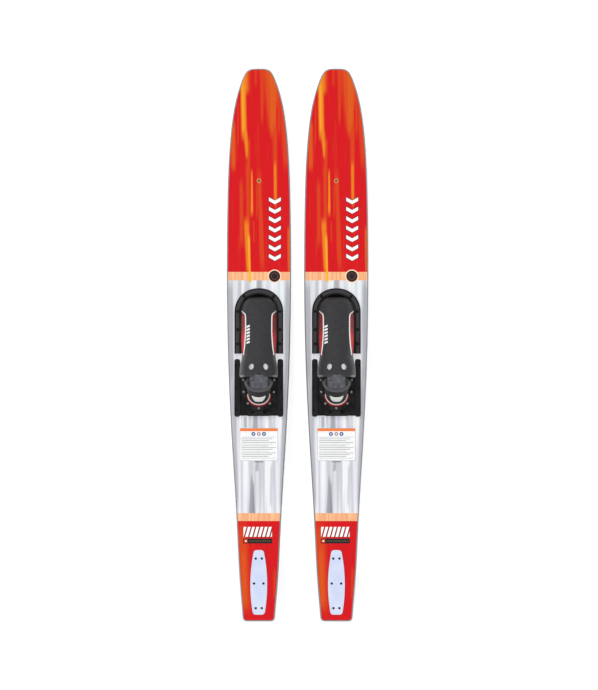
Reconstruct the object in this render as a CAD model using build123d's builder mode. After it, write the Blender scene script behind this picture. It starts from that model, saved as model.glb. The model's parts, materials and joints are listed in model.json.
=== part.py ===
from build123d import *

import os
from math import acos, asin, atan2, cos, degrees, radians, sin

# A pair of combination water skis with slide-adjustable bindings. Both skis are alike, so each piece is
# drawn once in the frame of one ski: X across it, Y along it from the tail end (0) to the tip, and Z up from
# the flat of its base. Two copies are then set down side by side with their tips towards +Y, each resting on
# its fin and on the curve of its base.

# ---------------------------------------------------------------- driving dimensions, millimetres
SKI_LENGTH = 1727.0
SKI_WIDTH = 201.6
SKI_SPACING = 243.0  # centreline to centreline, as the pair lies
TAIL_WIDTH = 100.8
TAIL_CORNER = 14.0

# thickness of the ski, base to top
BINDING_THICKNESS = 22.0
TAIL_THICKNESS = 15.0
TIP_THICKNESS = 10.0
SHEET = 1.0  # printed top sheet
LAMINATE = 4.0  # base laminate
RIM = 3.6  # bevel that shows as a silver rim round the sheet
RIM_DROP = 2.4
BASE_RIM = 2.5
TUNNEL_WIDTH = 84.0
TUNNEL_DEPTH = 3.0
TUNNEL_SLOPE = 6.0

# underside: flat, then a long rocker arc, then a tighter arc up to the tip
ROCKER_START = 900.0
ROCKER_RADIUS = 6000.0
TIP_CURVE = 377.0
TIP_CURVE_RADIUS = 1500.0
OVERRUN = 20.0  # side lines run on past tail and tip, where the outline cuts them
DECK_MARGIN = 40.0  # full thickness runs this far past the rails and the toe frame
TAIL_MARGIN = 45.0  # tail thickness runs this far past the fin plate

# threaded insert near the tip, for a removable bar between the skis
TIP_INSERT_BACK = 346.0  # from the tip
TIP_INSERT_RADIUS = 4.5
TIP_INSERT_BORE = 2.5
TIP_INSERT_DEPTH = 9.0

# fin with its flange under the tail, and the plate above it
FIN_DEPTH = 50.0
FIN_TOE_RADIUS = 30.0
FIN_TOE_Y = 112.0
FIN_HEEL_RADIUS = 12.0
FIN_HEEL_Y = 60.0
FIN_ROOT_REAR = 34.0
FIN_ROOT_FRONT = 200.0
FIN_BLADE = 7.0
FIN_EDGE = 2.2
FIN_PLATE_LENGTH = 202.0
FIN_PLATE_WIDTH = 52.0
FIN_PLATE_REAR = 20.5
FIN_PLATE_REAR_WIDTH = 36.0
FIN_PLATE_FRONT_WIDTH = 30.0
FIN_PLATE_WAIST = 115.0  # widest here, from its rear end
FIN_PLATE_CORNER = 10.0
FIN_PLATE = 3.0
FIN_FLANGE = 6.0
FIN_ROWS = [(41.0, 18.8), (118.0, 29.5), (196.0, 19.0)]  # distance from the tail, spacing across
NUT_HEIGHT = 3.2
NUT_RADIUS = 4.0
NUT_SINK = 0.2

# toe piece
TOE_FRONT = 1043.0
TOE_LENGTH = 205.6
TOE_HALF_WIDTH = 76.5
FRAME_BAND = 20.0
FRAME_FLANGE = 5.0
FRAME_BEAD = 3.0
FRAME_BEAD_WIDTH = 8.0
FRAME_FRONT_LOSS = 2.0  # the band is this much narrower at the front
TOE_PLATE = 2.0
TOE_PLATE_INSET = 1.0
OVERLAY_WALL = 5.0
OVERLAY_FLANGE = 4.0
OVERLAY_INSET = 2.0
TOE_FOOTBED = 10.0
TOE_FOOTBED_HALF_WIDTH = 45.0
TOE_FOOTBED_BACK = 35.0  # from the front of the frame
# in from the middle of the frame's band, back from its front
TOE_SCREW_ROWS = [(20.5, 26.0), (0.5, 73.0), (0.0, 130.0), (0.0, 175.0)]
# arches of the overlay from toe to instep: back from the front of the frame, in from the frame's inner edge
# there, top of the straight legs and crest above the ski
OVERLAY_ARCHES = [
    (22.0, 5.0, 4.0, 17.0),
    (29.0, 2.5, 4.0, 32.0),
    (41.0, 3.4, 4.0, 45.0),
    (63.0, 4.1, 4.0, 54.0),
    (103.0, 1.0, 4.0, 63.0),
    (153.0, 1.0, 10.0, 76.0),
    (197.0, 2.5, 25.0, 88.0),
    (221.0, 4.5, 42.0, 96.0),
    (248.0, 0.5, 56.0, 104.0),
    (279.0, -1.0, 60.0, 112.0),
]
# lower edge of the wings that reach back over the heel: back from the frame's front, height above the ski
WING_EDGE = [(219.0, 36.0), (243.0, 52.0), (279.0, 60.0)]
NOTCH_DEPTH = 9.0  # arch cut into the rear edge of the overlay
NOTCH_RADIUS = 27.0
FINGER_HOLE_RADIUS = 9.5
FINGER_HOLE_SPACING = 44.6
FINGER_HOLE_FORWARD = 28.0  # from the rear edge

# slide rails
RAIL_REAR = 639.7
RAIL_FRONT = 820.5
RAIL_SIDE_GAP = 3.9  # between a rail and the heel clamp
RAIL_WIDTH = 18.2
RAIL_HEIGHT = 13.0
RAIL_GROOVE = 8.0
RAIL_LIP = 2.0
RAIL_END_RADIUS = 7.0
RAIL_SCREW_INSET = 5.1  # from the outer face
RAIL_SCREW_ENDS = 20.4
RAIL_HEAD = 4.3

# heel piece
HEEL_PLATE = 5.0
HEEL_PLATE_REAR = 643.0
HEEL_PLATE_LEAD = 4.0  # of its front edge ahead of the cup's flange
HEEL_TRAVEL = 40.0
SLIDE_GAP = 0.3
HEEL_FLANGE = 3.5
HEEL_WALL = 5.0
HEEL_HALF_WIDTH = 41.0
# levels of the heel cup: height above the heel plate, flare past the half width, rear end, length of its
# straight sides
HEEL_LEVELS = [
    (0.0, 0.0, 673.0, 60.0),
    (30.0, 0.0, 683.0, 48.0),
    (60.0, 2.5, 700.0, 24.5),
    (79.0, 5.5, 716.0, 3.5),
]
COLLAR_DROP_START = 716.0  # the top edge falls from here to the front
COLLAR_DROP = 0.78
CLAMP = 3.0
CLAMP_BAND = 13.0
CLAMP_CUP_GAP = 0.5
CLAMP_FRONT_INSET = 4.0
FLANGE_INSET = 0.5
HEEL_FOOTBED = 7.0
HEEL_FOOTBED_GAP = 0.8  # at the sides
HEEL_FOOTBED_REAR_GAP = 4.0  # the cup leans in above it
# in from the middle of the clamp's band, forward of its rear end
HEEL_SCREW_ROWS = [(0.0, 95.2), (1.2, 57.5), (13.5, 21.5)]

# lock lever across the rear of the heel plate
LEVER_HALF_WIDTH = 34.5
LEVER_PIVOT_Y = 653.5
LEVER_PIVOT_RISE = 5.0  # pin centre above the heel plate
LEVER_BARREL = 4.0
LEVER_REAR = 641.5
LEVER_PADDLE = 2.6
PIN_RADIUS = 2.0
PIN_GAP = 0.08  # in the lever
EAR = 6.0
EAR_GAP = 1.0
EAR_RADIUS = 4.2
NOSE_WIDTH = 22.0
NOSE_RADIUS = 3.0
NOTCH_CLEARANCE = 1.0
NOTCH_FRONT = 661.0
GRIP_STRIP = 1.5
GRIP_STRIP_WIDTH = 30.0
GRIP_STRIP_OVERRUN = 10.0
GRIP_GAP = 0.1
SPRING_WIRE = 0.4
SPRING_RADIUS = 2.9
SPRING_PITCH = 1.9
SPRING_TURNS = 5
SPRING_X = 19.0
SPRING_ROOM = 1.0
SPRING_CLEARANCE = 0.8

# fasteners, radii
BINDING_SCREW = 2.5
BINDING_HEAD = 4.8
BINDING_SCREW_ROOM = 1.0  # left under its tip in the insert
FIN_SCREW = 2.0
FIN_SCREW_HEAD = 3.8
HEEL_SCREW = 2.0
HEEL_SCREW_HEAD = 4.0
HEEL_SCREW_HEAD_HEIGHT = 2.4
INSERT_RADIUS = 4.0
INSERT_DEPTH = 12.0
THREAD_GAP = 0.05
CUT = 1.0  # how far a cutting tool runs past a face
HOLE_GAP = 0.3
RECESS_WIDTH = 1.1
RECESS_DEPTH = 1.2
EDGE_ROUND = 1.2

FLANK_START = (0.07, 1)  # direction in which the flank leaves the tail corner
# half widths along the ski from the tail corner to the blunt tip, as shares of its half width and length
FLANK = [
    (0.591, 0.074),
    (0.690, 0.183),
    (0.839, 0.328),
    (0.956, 0.473),
    (1.000, 0.628),
    (0.980, 0.764),
    (0.892, 0.873),
    (0.709, 0.945),
    (0.510, 0.981),
    (0.351, 0.996),
]

# rounded end of a horseshoe from shoulder to centreline, in half widths
HORSESHOE_END = [(1, 0), (0.87, 0.52), (0.55, 0.87), (0, 1)]

# ---------------------------------------------------------------- heights and places that follow from them
SKI_TOP = BINDING_THICKNESS
CORE_TOP = SKI_TOP - SHEET
INSERT_BASE = CORE_TOP - INSERT_DEPTH
OVERLAY_BASE = SKI_TOP + TOE_PLATE
FRAME_BASE = OVERLAY_BASE + OVERLAY_FLANGE
FRAME_TOP = FRAME_BASE + FRAME_FLANGE
TOE_REAR = TOE_FRONT - TOE_LENGTH
TOE_FOOTBED_FRONT = TOE_FRONT - TOE_FOOTBED_BACK
FRAME_INNER = TOE_HALF_WIDTH - FRAME_BAND
BINDING_SCREW_TIP = INSERT_BASE + BINDING_SCREW_ROOM
CLAMP_HALF_WIDTH = HEEL_HALF_WIDTH + CLAMP_CUP_GAP + CLAMP_BAND
CLAMP_REAR = HEEL_LEVELS[0][2] - CLAMP_CUP_GAP - CLAMP_BAND
RAIL_INNER = CLAMP_HALF_WIDTH + RAIL_SIDE_GAP
RAIL_TOP = SKI_TOP + RAIL_HEIGHT
PLATE_BASE = SKI_TOP + RAIL_LIP + SLIDE_GAP
PLATE_TOP = PLATE_BASE + HEEL_PLATE
CLAMP_BASE = PLATE_TOP + HEEL_FLANGE
CLAMP_TOP = CLAMP_BASE + CLAMP
PIVOT_Z = PLATE_TOP + LEVER_PIVOT_RISE
GRIP_TOP = SKI_TOP + GRIP_STRIP
TAIL_TOP = TAIL_THICKNESS + FIN_PLATE
FLANGE_BASE = TUNNEL_DEPTH - FIN_FLANGE
OVERLAY_LIP = TOE_FRONT - OVERLAY_ARCHES[-1][0]
OVERLAY_CREST = OVERLAY_ARCHES[-1][3]
FINGER_HOLE_Y = OVERLAY_LIP + FINGER_HOLE_FORWARD
TIP_INSERT_Y = SKI_LENGTH - TIP_INSERT_BACK
FLAT_REAR = RAIL_REAR - DECK_MARGIN
FLAT_FRONT = TOE_FRONT + DECK_MARGIN
TAIL_FLAT = FIN_PLATE_REAR + FIN_PLATE_LENGTH + TAIL_MARGIN
EAR_X = LEVER_HALF_WIDTH + EAR_GAP + EAR / 2
COLLAR_TOP = PLATE_TOP + HEEL_LEVELS[-1][0]
HEEL_FLANGE_FRONT = HEEL_LEVELS[0][2] + HEEL_HALF_WIDTH + HEEL_LEVELS[0][3]
HEEL_PLATE_FRONT = HEEL_FLANGE_FRONT + HEEL_PLATE_LEAD
CLAMP_FRONT = HEEL_FLANGE_FRONT - CLAMP_FRONT_INSET
HEEL_SCREW_TIP = PLATE_BASE + SLIDE_GAP
SPRING_REACH = SPRING_TURNS * SPRING_PITCH / 2 - SPRING_WIRE


# ---------------------------------------------------------------- shared outlines
def ski_outline(inset):
    """The ski seen from above, drawn in by inset all round."""
    side = [(share * SKI_WIDTH / 2, along * SKI_LENGTH) for share, along in FLANK]
    corner = (TAIL_WIDTH / 2, TAIL_CORNER)
    ends = [FLANK_START, (-1, 0)]
    with BuildLine():
        full = Spline([corner, *side, (0, SKI_LENGTH)], tangents=ends)
    drawn_in = []
    for point in [corner, *side, (0, SKI_LENGTH)]:
        along = full % full.param_at_point(Vector(point))
        drawn_in.append(Vector(point) + inset * Vector(-along.Y, along.X))
    with BuildSketch() as outline:
        with BuildLine():
            flank = Spline(drawn_in, tangents=ends)
            tail = Line((0, inset), (TAIL_WIDTH / 2 - TAIL_CORNER, inset))
            Spline([tail @ 1, flank @ 0], tangents=[(1, 0), FLANK_START])
            mirror(about=Plane.YZ)
        make_face()
    return outline.sketch


def base_run(raise_by):
    """The line of the underside from tail to tip, raised by raise_by."""
    rocker_turn = degrees(asin((SKI_LENGTH - TIP_CURVE - ROCKER_START) / ROCKER_RADIUS))
    tip_rise = sin(radians(rocker_turn)) + (TIP_CURVE + OVERRUN) / TIP_CURVE_RADIUS
    tip_turn = degrees(asin(tip_rise)) - rocker_turn
    with BuildLine() as run:
        flat = Line((-OVERRUN, raise_by), (ROCKER_START, raise_by))
        rocker = JernArc(start=flat @ 1, tangent=(1, 0), radius=ROCKER_RADIUS, arc_size=rocker_turn)
        JernArc(start=rocker @ 1, tangent=rocker % 1, radius=TIP_CURVE_RADIUS, arc_size=tip_turn)
    return run.line


def top_run(lower_by):
    """The line of the top surface from tail to tip, lowered by lower_by."""
    base_tip = base_run(TIP_THICKNESS).edges().sort_by(Axis.X)[-1]
    with BuildLine() as run:
        tail = Line((-OVERRUN, TAIL_THICKNESS), (TAIL_FLAT, TAIL_THICKNESS))
        deck = Line((FLAT_REAR, BINDING_THICKNESS), (FLAT_FRONT, BINDING_THICKNESS))
        Spline([tail @ 1, deck @ 0], tangents=[(1, 0), (1, 0)])
        Spline([deck @ 1, base_tip @ 1], tangents=[(1, 0), base_tip % 1])
    return Pos(0, -lower_by) * run.line


def side_profile(lower, upper):
    """The ski seen from the side, between two lines that run from tail to tip."""
    low = lower.vertices().sort_by(Axis.X)
    high = upper.vertices().sort_by(Axis.X)
    with BuildSketch() as profile:
        with BuildLine():
            add(lower)
            add(upper)
            Line(low[0].center(), high[0].center())
            Line(low[-1].center(), high[-1].center())
        make_face()
    return profile.sketch


def ski_layer(lower, upper, inset):
    """One layer of the ski between two side lines, drawn in by inset all round."""
    from_above = ski_outline(inset)
    from_side = side_profile(lower, upper)
    with BuildPart() as layer:
        with BuildSketch(Plane.XY.offset(-SKI_TOP)):
            add(from_above)
        extrude(amount=SKI_LENGTH)
        with BuildSketch(Plane.YZ.offset(-SKI_WIDTH)):
            add(from_side)
        extrude(amount=2 * SKI_WIDTH, mode=Mode.INTERSECT)
    return layer.part


def horseshoe_end(half_width, closed_end, way):
    """The points of the rounded end, from its shoulder to the centreline; way is 1 if it closes forwards."""
    shoulder = closed_end - way * half_width
    return [(x * half_width, shoulder + way * y * half_width) for x, y in HORSESHOE_END]


def horseshoe(half_width, open_end, closed_end):
    """A U-shaped outline, square at open_end and rounded over one half width at closed_end."""
    way = 1 if closed_end > open_end else -1
    rounded = horseshoe_end(half_width, closed_end, way)
    with BuildSketch() as outline:
        with BuildLine():
            Line((0, open_end), (half_width, open_end))
            Line((half_width, open_end), rounded[0])
            Spline(rounded, tangents=[(0, way), (-1, 0)])
            mirror(about=Plane.YZ)
        make_face()
    return outline.sketch


def both_sides(points):
    """Each (x, y) and its mirror across the centreline."""
    return [(side * x, y) for x, y in points for side in (-1, 1)]


FIN_POINTS = both_sides([(spacing / 2, y) for y, spacing in FIN_ROWS])
BAND_MIDDLE = TOE_HALF_WIDTH - FRAME_BAND / 2
TOE_POINTS = both_sides([(BAND_MIDDLE - x, TOE_FRONT - back) for x, back in TOE_SCREW_ROWS])
RAIL_SCREW_X = RAIL_INNER + RAIL_WIDTH - RAIL_SCREW_INSET
RAIL_SCREW_ROWS = [RAIL_REAR + RAIL_SCREW_ENDS, (RAIL_REAR + RAIL_FRONT) / 2, RAIL_FRONT - RAIL_SCREW_ENDS]
RAIL_POINTS = both_sides([(RAIL_SCREW_X, y) for y in RAIL_SCREW_ROWS])
CLAMP_MIDDLE = CLAMP_HALF_WIDTH - CLAMP_BAND / 2
HEEL_POINTS = both_sides([(CLAMP_MIDDLE - x, CLAMP_REAR + ahead) for x, ahead in HEEL_SCREW_ROWS])
HEEL_POINTS.append((0, CLAMP_REAR + CLAMP_BAND / 2))


def flat_screws(points, thread, head, top, tip):
    """Countersunk screws with cross recesses, heads level with top and ends at tip."""
    with BuildPart() as screws:
        with Locations([(x, y, top) for x, y in points]):
            Cone(thread, head, head - thread, align=(Align.CENTER, Align.CENTER, Align.MAX))
            Cylinder(thread, top - tip, align=(Align.CENTER, Align.CENTER, Align.MAX))
            for turn in (0, 90):
                Box(
                    RECESS_WIDTH,
                    1.2 * head,
                    2 * RECESS_DEPTH,
                    rotation=(0, 0, turn),
                    mode=Mode.SUBTRACT,
                )
    return screws.part


def blind_holes(points, radius, top, bottom):
    """Holes down to bottom that break out past top, as a tool to subtract."""
    with BuildPart() as holes:
        with Locations([(x, y, bottom) for x, y in points]):
            Cylinder(radius, top + CUT - bottom, align=(Align.CENTER, Align.CENTER, Align.MIN))
    return holes.part


def through_holes(points, radius, top, bottom):
    """Holes that break out past both faces, as a tool to subtract."""
    return blind_holes(points, radius, top, bottom - CUT)


def head_seats(points, thread, head, top):
    """Cones that seat the heads of countersunk screws, as a tool to subtract."""
    depth = head - thread
    with BuildPart() as seats:
        with Locations([(x, y, top) for x, y in points]):
            Cone(thread, head, depth, align=(Align.CENTER, Align.CENTER, Align.MAX))
    return seats.part


# ---------------------------------------------------------------- ski body
tip_edge = top_run(0).edges().sort_by(Axis.X)[-1]
tip_crossing = tip_edge.find_intersection_points(Axis((TIP_INSERT_Y, 0, 0), (0, 1, 0)))[0]
tip_slope = tip_edge % tip_edge.param_at_point(tip_crossing)
TIP_INSERT_PLANE = Plane(
    origin=(0, tip_crossing.X, tip_crossing.Y),
    x_dir=(1, 0, 0),
    z_dir=(0, -tip_slope.Y, tip_slope.X),
)


def tunnel():
    """The straight channel along the underside, as a tool to subtract."""
    with BuildPart() as channel:
        with BuildSketch(Plane.XZ.offset(OVERRUN)):
            with BuildLine():
                Polyline(
                    (-TUNNEL_WIDTH / 2, -SKI_TOP),
                    (-TUNNEL_WIDTH / 2, 0),
                    (-TUNNEL_WIDTH / 2 + TUNNEL_SLOPE, TUNNEL_DEPTH),
                    (TUNNEL_WIDTH / 2 - TUNNEL_SLOPE, TUNNEL_DEPTH),
                    (TUNNEL_WIDTH / 2, 0),
                    (TUNNEL_WIDTH / 2, -SKI_TOP),
                    close=True,
                )
            make_face()
        extrude(amount=-SKI_LENGTH)
    return channel.part


with BuildPart() as core:
    add(ski_layer(base_run(LAMINATE), top_run(SHEET + RIM_DROP), 0))
    add(ski_layer(base_run(LAMINATE), top_run(SHEET), RIM))
    add(blind_holes(TOE_POINTS + RAIL_POINTS, INSERT_RADIUS, CORE_TOP, INSERT_BASE), mode=Mode.SUBTRACT)
    add(through_holes(FIN_POINTS, FIN_SCREW + HOLE_GAP, TAIL_THICKNESS, 0), mode=Mode.SUBTRACT)
    with Locations(TIP_INSERT_PLANE):
        Cylinder(
            TIP_INSERT_RADIUS,
            2 * TIP_INSERT_DEPTH,
            mode=Mode.SUBTRACT,
        )

with BuildPart() as top_sheet:
    add(ski_layer(top_run(SHEET), top_run(0), RIM))
    add(through_holes(TOE_POINTS + RAIL_POINTS, BINDING_SCREW + HOLE_GAP, SKI_TOP, 0), mode=Mode.SUBTRACT)
    add(through_holes(FIN_POINTS, FIN_SCREW + HOLE_GAP, TAIL_THICKNESS, 0), mode=Mode.SUBTRACT)
    with Locations(TIP_INSERT_PLANE):
        Cylinder(TIP_INSERT_RADIUS, 2 * TIP_INSERT_DEPTH, mode=Mode.SUBTRACT)

with BuildPart() as base_sheet:
    add(ski_layer(base_run(0), base_run(LAMINATE), BASE_RIM))
    add(tunnel(), mode=Mode.SUBTRACT)
    with Locations(TIP_INSERT_PLANE):
        Cylinder(
            TIP_INSERT_RADIUS,
            TIP_INSERT_DEPTH,
            align=(Align.CENTER, Align.CENTER, Align.MAX),
            mode=Mode.SUBTRACT,
        )
    add(through_holes(FIN_POINTS, FIN_SCREW + HOLE_GAP, TAIL_THICKNESS, 0), mode=Mode.SUBTRACT)

with BuildPart() as tip_insert:
    with Locations(TIP_INSERT_PLANE):
        Cylinder(
            TIP_INSERT_RADIUS,
            TIP_INSERT_DEPTH,
            align=(Align.CENTER, Align.CENTER, Align.MAX),
        )
        Cylinder(TIP_INSERT_BORE, 4 * TIP_INSERT_DEPTH, mode=Mode.SUBTRACT)

with BuildPart() as binding_inserts:
    with Locations([(x, y, INSERT_BASE) for x, y in TOE_POINTS + RAIL_POINTS]):
        Cylinder(INSERT_RADIUS, INSERT_DEPTH, align=(Align.CENTER, Align.CENTER, Align.MIN))
        Cylinder(BINDING_SCREW + THREAD_GAP, 3 * INSERT_DEPTH, mode=Mode.SUBTRACT)


# ---------------------------------------------------------------- fin
def fin_plate_outline():
    """The fin plate seen from above: a small surfboard, widest ahead of its middle."""
    front = FIN_PLATE_REAR + FIN_PLATE_LENGTH
    with BuildSketch() as outline:
        with BuildLine():
            rear_end = Line((0, FIN_PLATE_REAR), (FIN_PLATE_REAR_WIDTH / 2, FIN_PLATE_REAR))
            front_end = Line((0, front), (FIN_PLATE_FRONT_WIDTH / 2, front))
            Spline(
                [
                    rear_end @ 1,
                    (FIN_PLATE_WIDTH / 2, FIN_PLATE_REAR + FIN_PLATE_WAIST),
                    front_end @ 1,
                ]
            )
            mirror(about=Plane.YZ)
        make_face()
        fillet(outline.vertices().filter_by(lambda v: abs(v.X) > CUT), radius=FIN_PLATE_CORNER)
    return outline.sketch


with BuildPart() as fin:
    with BuildSketch(Plane.YZ.offset(-FIN_BLADE / 2)):
        with Locations((FIN_TOE_Y, FIN_TOE_RADIUS - FIN_DEPTH)):
            Circle(FIN_TOE_RADIUS)
        with Locations((FIN_HEEL_Y, FIN_HEEL_RADIUS - FIN_DEPTH)):
            Circle(FIN_HEEL_RADIUS)
        with Locations(((FIN_ROOT_REAR + FIN_ROOT_FRONT) / 2, FLANGE_BASE + CUT)):
            Rectangle(FIN_ROOT_FRONT - FIN_ROOT_REAR, 2 * CUT)
        make_hull()
        with Locations((FIN_TOE_Y, FLANGE_BASE + CUT)):
            Rectangle(
                2 * FIN_PLATE_LENGTH,
                2 * FIN_TOE_RADIUS,
                align=(Align.CENTER, Align.MIN),
                mode=Mode.SUBTRACT,
            )
    extrude(amount=FIN_BLADE)
    chamfer(fin.edges().filter_by(lambda e: e.center().Z < FLANGE_BASE - CUT), length=FIN_EDGE)
    with BuildSketch(Plane.XY.offset(FLANGE_BASE)):
        add(fin_plate_outline())
    extrude(amount=FIN_FLANGE)
    with Locations([(x, y, FLANGE_BASE) for x, y in FIN_POINTS]):
        Cylinder(FIN_SCREW + HOLE_GAP, 4 * FIN_FLANGE, mode=Mode.SUBTRACT)
    with BuildSketch(Plane.XY.offset(FLANGE_BASE)):
        with Locations(FIN_POINTS):
            RegularPolygon(NUT_RADIUS + HOLE_GAP, 6)
    extrude(amount=NUT_HEIGHT + NUT_SINK, mode=Mode.SUBTRACT)

with BuildPart() as fin_nuts:
    with BuildSketch(Plane.XY.offset(FLANGE_BASE + NUT_SINK)):
        with Locations(FIN_POINTS):
            RegularPolygon(NUT_RADIUS, 6)
            Circle(FIN_SCREW + THREAD_GAP, mode=Mode.SUBTRACT)
    extrude(amount=NUT_HEIGHT)

with BuildPart() as fin_plate:
    with BuildSketch(Plane.XY.offset(TAIL_THICKNESS)):
        add(fin_plate_outline())
    extrude(amount=FIN_PLATE)
    fillet(fin_plate.faces().sort_by(Axis.Z)[-1].edges(), radius=EDGE_ROUND)
    add(through_holes(FIN_POINTS, FIN_SCREW + HOLE_GAP, TAIL_TOP, TAIL_THICKNESS), mode=Mode.SUBTRACT)
    add(head_seats(FIN_POINTS, FIN_SCREW, FIN_SCREW_HEAD, TAIL_TOP), mode=Mode.SUBTRACT)

with BuildPart() as fin_screws:
    add(flat_screws(FIN_POINTS, FIN_SCREW, FIN_SCREW_HEAD, TAIL_TOP, FLANGE_BASE + NUT_SINK))


# ---------------------------------------------------------------- toe piece
def frame_clear_width(place):
    """Half the clear width inside the toe frame at a place along the ski."""
    rounded = horseshoe_end(FRAME_INNER, TOE_FRONT - FRAME_BAND + FRAME_FRONT_LOSS, 1)
    if place <= rounded[0][1]:
        return FRAME_INNER
    with BuildLine() as front:
        Spline(rounded, tangents=[(0, 1), (-1, 0)])
    return front.edges()[0].find_intersection_points(Axis((0, place, 0), (1, 0, 0)))[0].X


ARCHES = [
    (TOE_FRONT - back, frame_clear_width(TOE_FRONT - back) - gap, leg, crest)
    for back, gap, leg, crest in OVERLAY_ARCHES
]


def arch(place, half_width, leg, crest, wall):
    """One section of the overlay across the ski; with a wall, of the space inside, open downwards."""
    width = half_width - wall
    top = SKI_TOP + crest - wall
    shoulder = SKI_TOP + leg
    rise = top - shoulder
    bottom = OVERLAY_BASE - wall
    with BuildSketch(Plane.XZ.offset(-place)) as section:
        with BuildLine():
            Polyline((0, bottom), (width, bottom), (width, shoulder))
            Spline(
                [
                    (width, shoulder),
                    (0.94 * width, shoulder + 0.40 * rise),
                    (0.80 * width, shoulder + 0.74 * rise),
                    (0.45 * width, shoulder + 0.95 * rise),
                    (0, top),
                ],
                tangents=[(0, 1), (-1, 0)],
            )
            mirror(about=Plane.YZ)
        make_face()
    return section.sketch


def overlay_form(arches, wall):
    """The overlay's outer form, or with a wall the space inside it."""
    with BuildPart() as form:
        for place, half_width, leg, crest in arches:
            add(arch(place, half_width, leg, crest, wall))
        loft()
    return form.part


def under_wings():
    """The room that the heel plate slides through, under the overlay's wings, as a tool to subtract."""
    edge = [(TOE_FRONT - back, SKI_TOP + height) for back, height in WING_EDGE]
    front = TOE_REAR + OVERLAY_INSET + CUT
    with BuildPart() as room:
        with BuildSketch(Plane.YZ.offset(-TOE_HALF_WIDTH - CUT)):
            with BuildLine():
                wing = Spline([(front, FRAME_TOP), *edge], tangents=[(0, 1), (-1, 0)])
                Polyline(
                    wing @ 1,
                    wing @ 1 - (2 * CUT, 0),
                    (OVERLAY_LIP - 2 * CUT, SKI_TOP),
                    (front, SKI_TOP),
                    wing @ 0,
                )
            make_face()
        extrude(amount=2 * TOE_HALF_WIDTH + 2 * CUT)
    return room.part


def toe_outline(inset, band):
    """The toe piece seen from above, drawn in by inset, as a ring of width band or solid if band is 0."""
    outer = TOE_HALF_WIDTH - inset
    with BuildSketch() as outline:
        add(horseshoe(outer, TOE_REAR + inset, TOE_FRONT - inset))
        if band:
            inner_front = TOE_FRONT - inset - band + FRAME_FRONT_LOSS
            add(horseshoe(outer - band, TOE_REAR, inner_front), mode=Mode.SUBTRACT)
    return outline.sketch


with BuildPart() as toe_base_plate:
    with BuildSketch(Plane.XY.offset(SKI_TOP)):
        add(toe_outline(TOE_PLATE_INSET, 0))
    extrude(amount=TOE_PLATE)
    add(through_holes(TOE_POINTS, BINDING_SCREW + HOLE_GAP, OVERLAY_BASE, SKI_TOP), mode=Mode.SUBTRACT)

with BuildPart() as toe_overlay:
    with BuildSketch(Plane.XY.offset(OVERLAY_BASE)):
        add(toe_outline(OVERLAY_INSET, 0))
    extrude(amount=OVERLAY_FLANGE)
    add(overlay_form(ARCHES, 0))
    add(overlay_form(ARCHES[1:], OVERLAY_WALL), mode=Mode.SUBTRACT)
    add(under_wings(), mode=Mode.SUBTRACT)
    with Locations((0, OVERLAY_LIP + NOTCH_DEPTH - NOTCH_RADIUS, SKI_TOP)):
        Cylinder(
            NOTCH_RADIUS,
            2 * OVERLAY_CREST,
            align=(Align.CENTER, Align.CENTER, Align.MIN),
            mode=Mode.SUBTRACT,
        )
    with Locations([(side * FINGER_HOLE_SPACING / 2, FINGER_HOLE_Y, FRAME_TOP) for side in (-1, 1)]):
        Cylinder(
            FINGER_HOLE_RADIUS,
            2 * OVERLAY_CREST,
            align=(Align.CENTER, Align.CENTER, Align.MIN),
            mode=Mode.SUBTRACT,
        )
    add(through_holes(TOE_POINTS, BINDING_SCREW + HOLE_GAP, FRAME_BASE, OVERLAY_BASE), mode=Mode.SUBTRACT)

with BuildPart() as toe_frame:
    with BuildSketch(Plane.XY.offset(FRAME_BASE)):
        add(toe_outline(0, FRAME_BAND))
    extrude(amount=FRAME_FLANGE)
    chamfer(toe_frame.faces().sort_by(Axis.Z)[-1].outer_wire().edges(), length=EDGE_ROUND)
    with BuildSketch(Plane.XY.offset(FRAME_TOP)):
        add(toe_outline(FRAME_BAND - FRAME_BEAD_WIDTH, FRAME_BEAD_WIDTH))
    extrude(amount=FRAME_BEAD)
    add(blind_holes(TOE_POINTS, BINDING_HEAD, FRAME_TOP + FRAME_BEAD, FRAME_TOP), mode=Mode.SUBTRACT)
    add(through_holes(TOE_POINTS, BINDING_SCREW + HOLE_GAP, FRAME_TOP, FRAME_BASE), mode=Mode.SUBTRACT)
    add(head_seats(TOE_POINTS, BINDING_SCREW, BINDING_HEAD, FRAME_TOP), mode=Mode.SUBTRACT)

with BuildPart() as toe_footbed:
    with BuildSketch(Plane.XY.offset(OVERLAY_BASE)):
        add(horseshoe(TOE_FOOTBED_HALF_WIDTH, TOE_REAR + OVERLAY_INSET, TOE_FOOTBED_FRONT))
    extrude(amount=TOE_FOOTBED)
    fillet(toe_footbed.faces().sort_by(Axis.Z)[-1].edges(), radius=EDGE_ROUND)

with BuildPart() as toe_screws:
    add(flat_screws(TOE_POINTS, BINDING_SCREW, BINDING_HEAD, FRAME_TOP, BINDING_SCREW_TIP))


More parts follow.
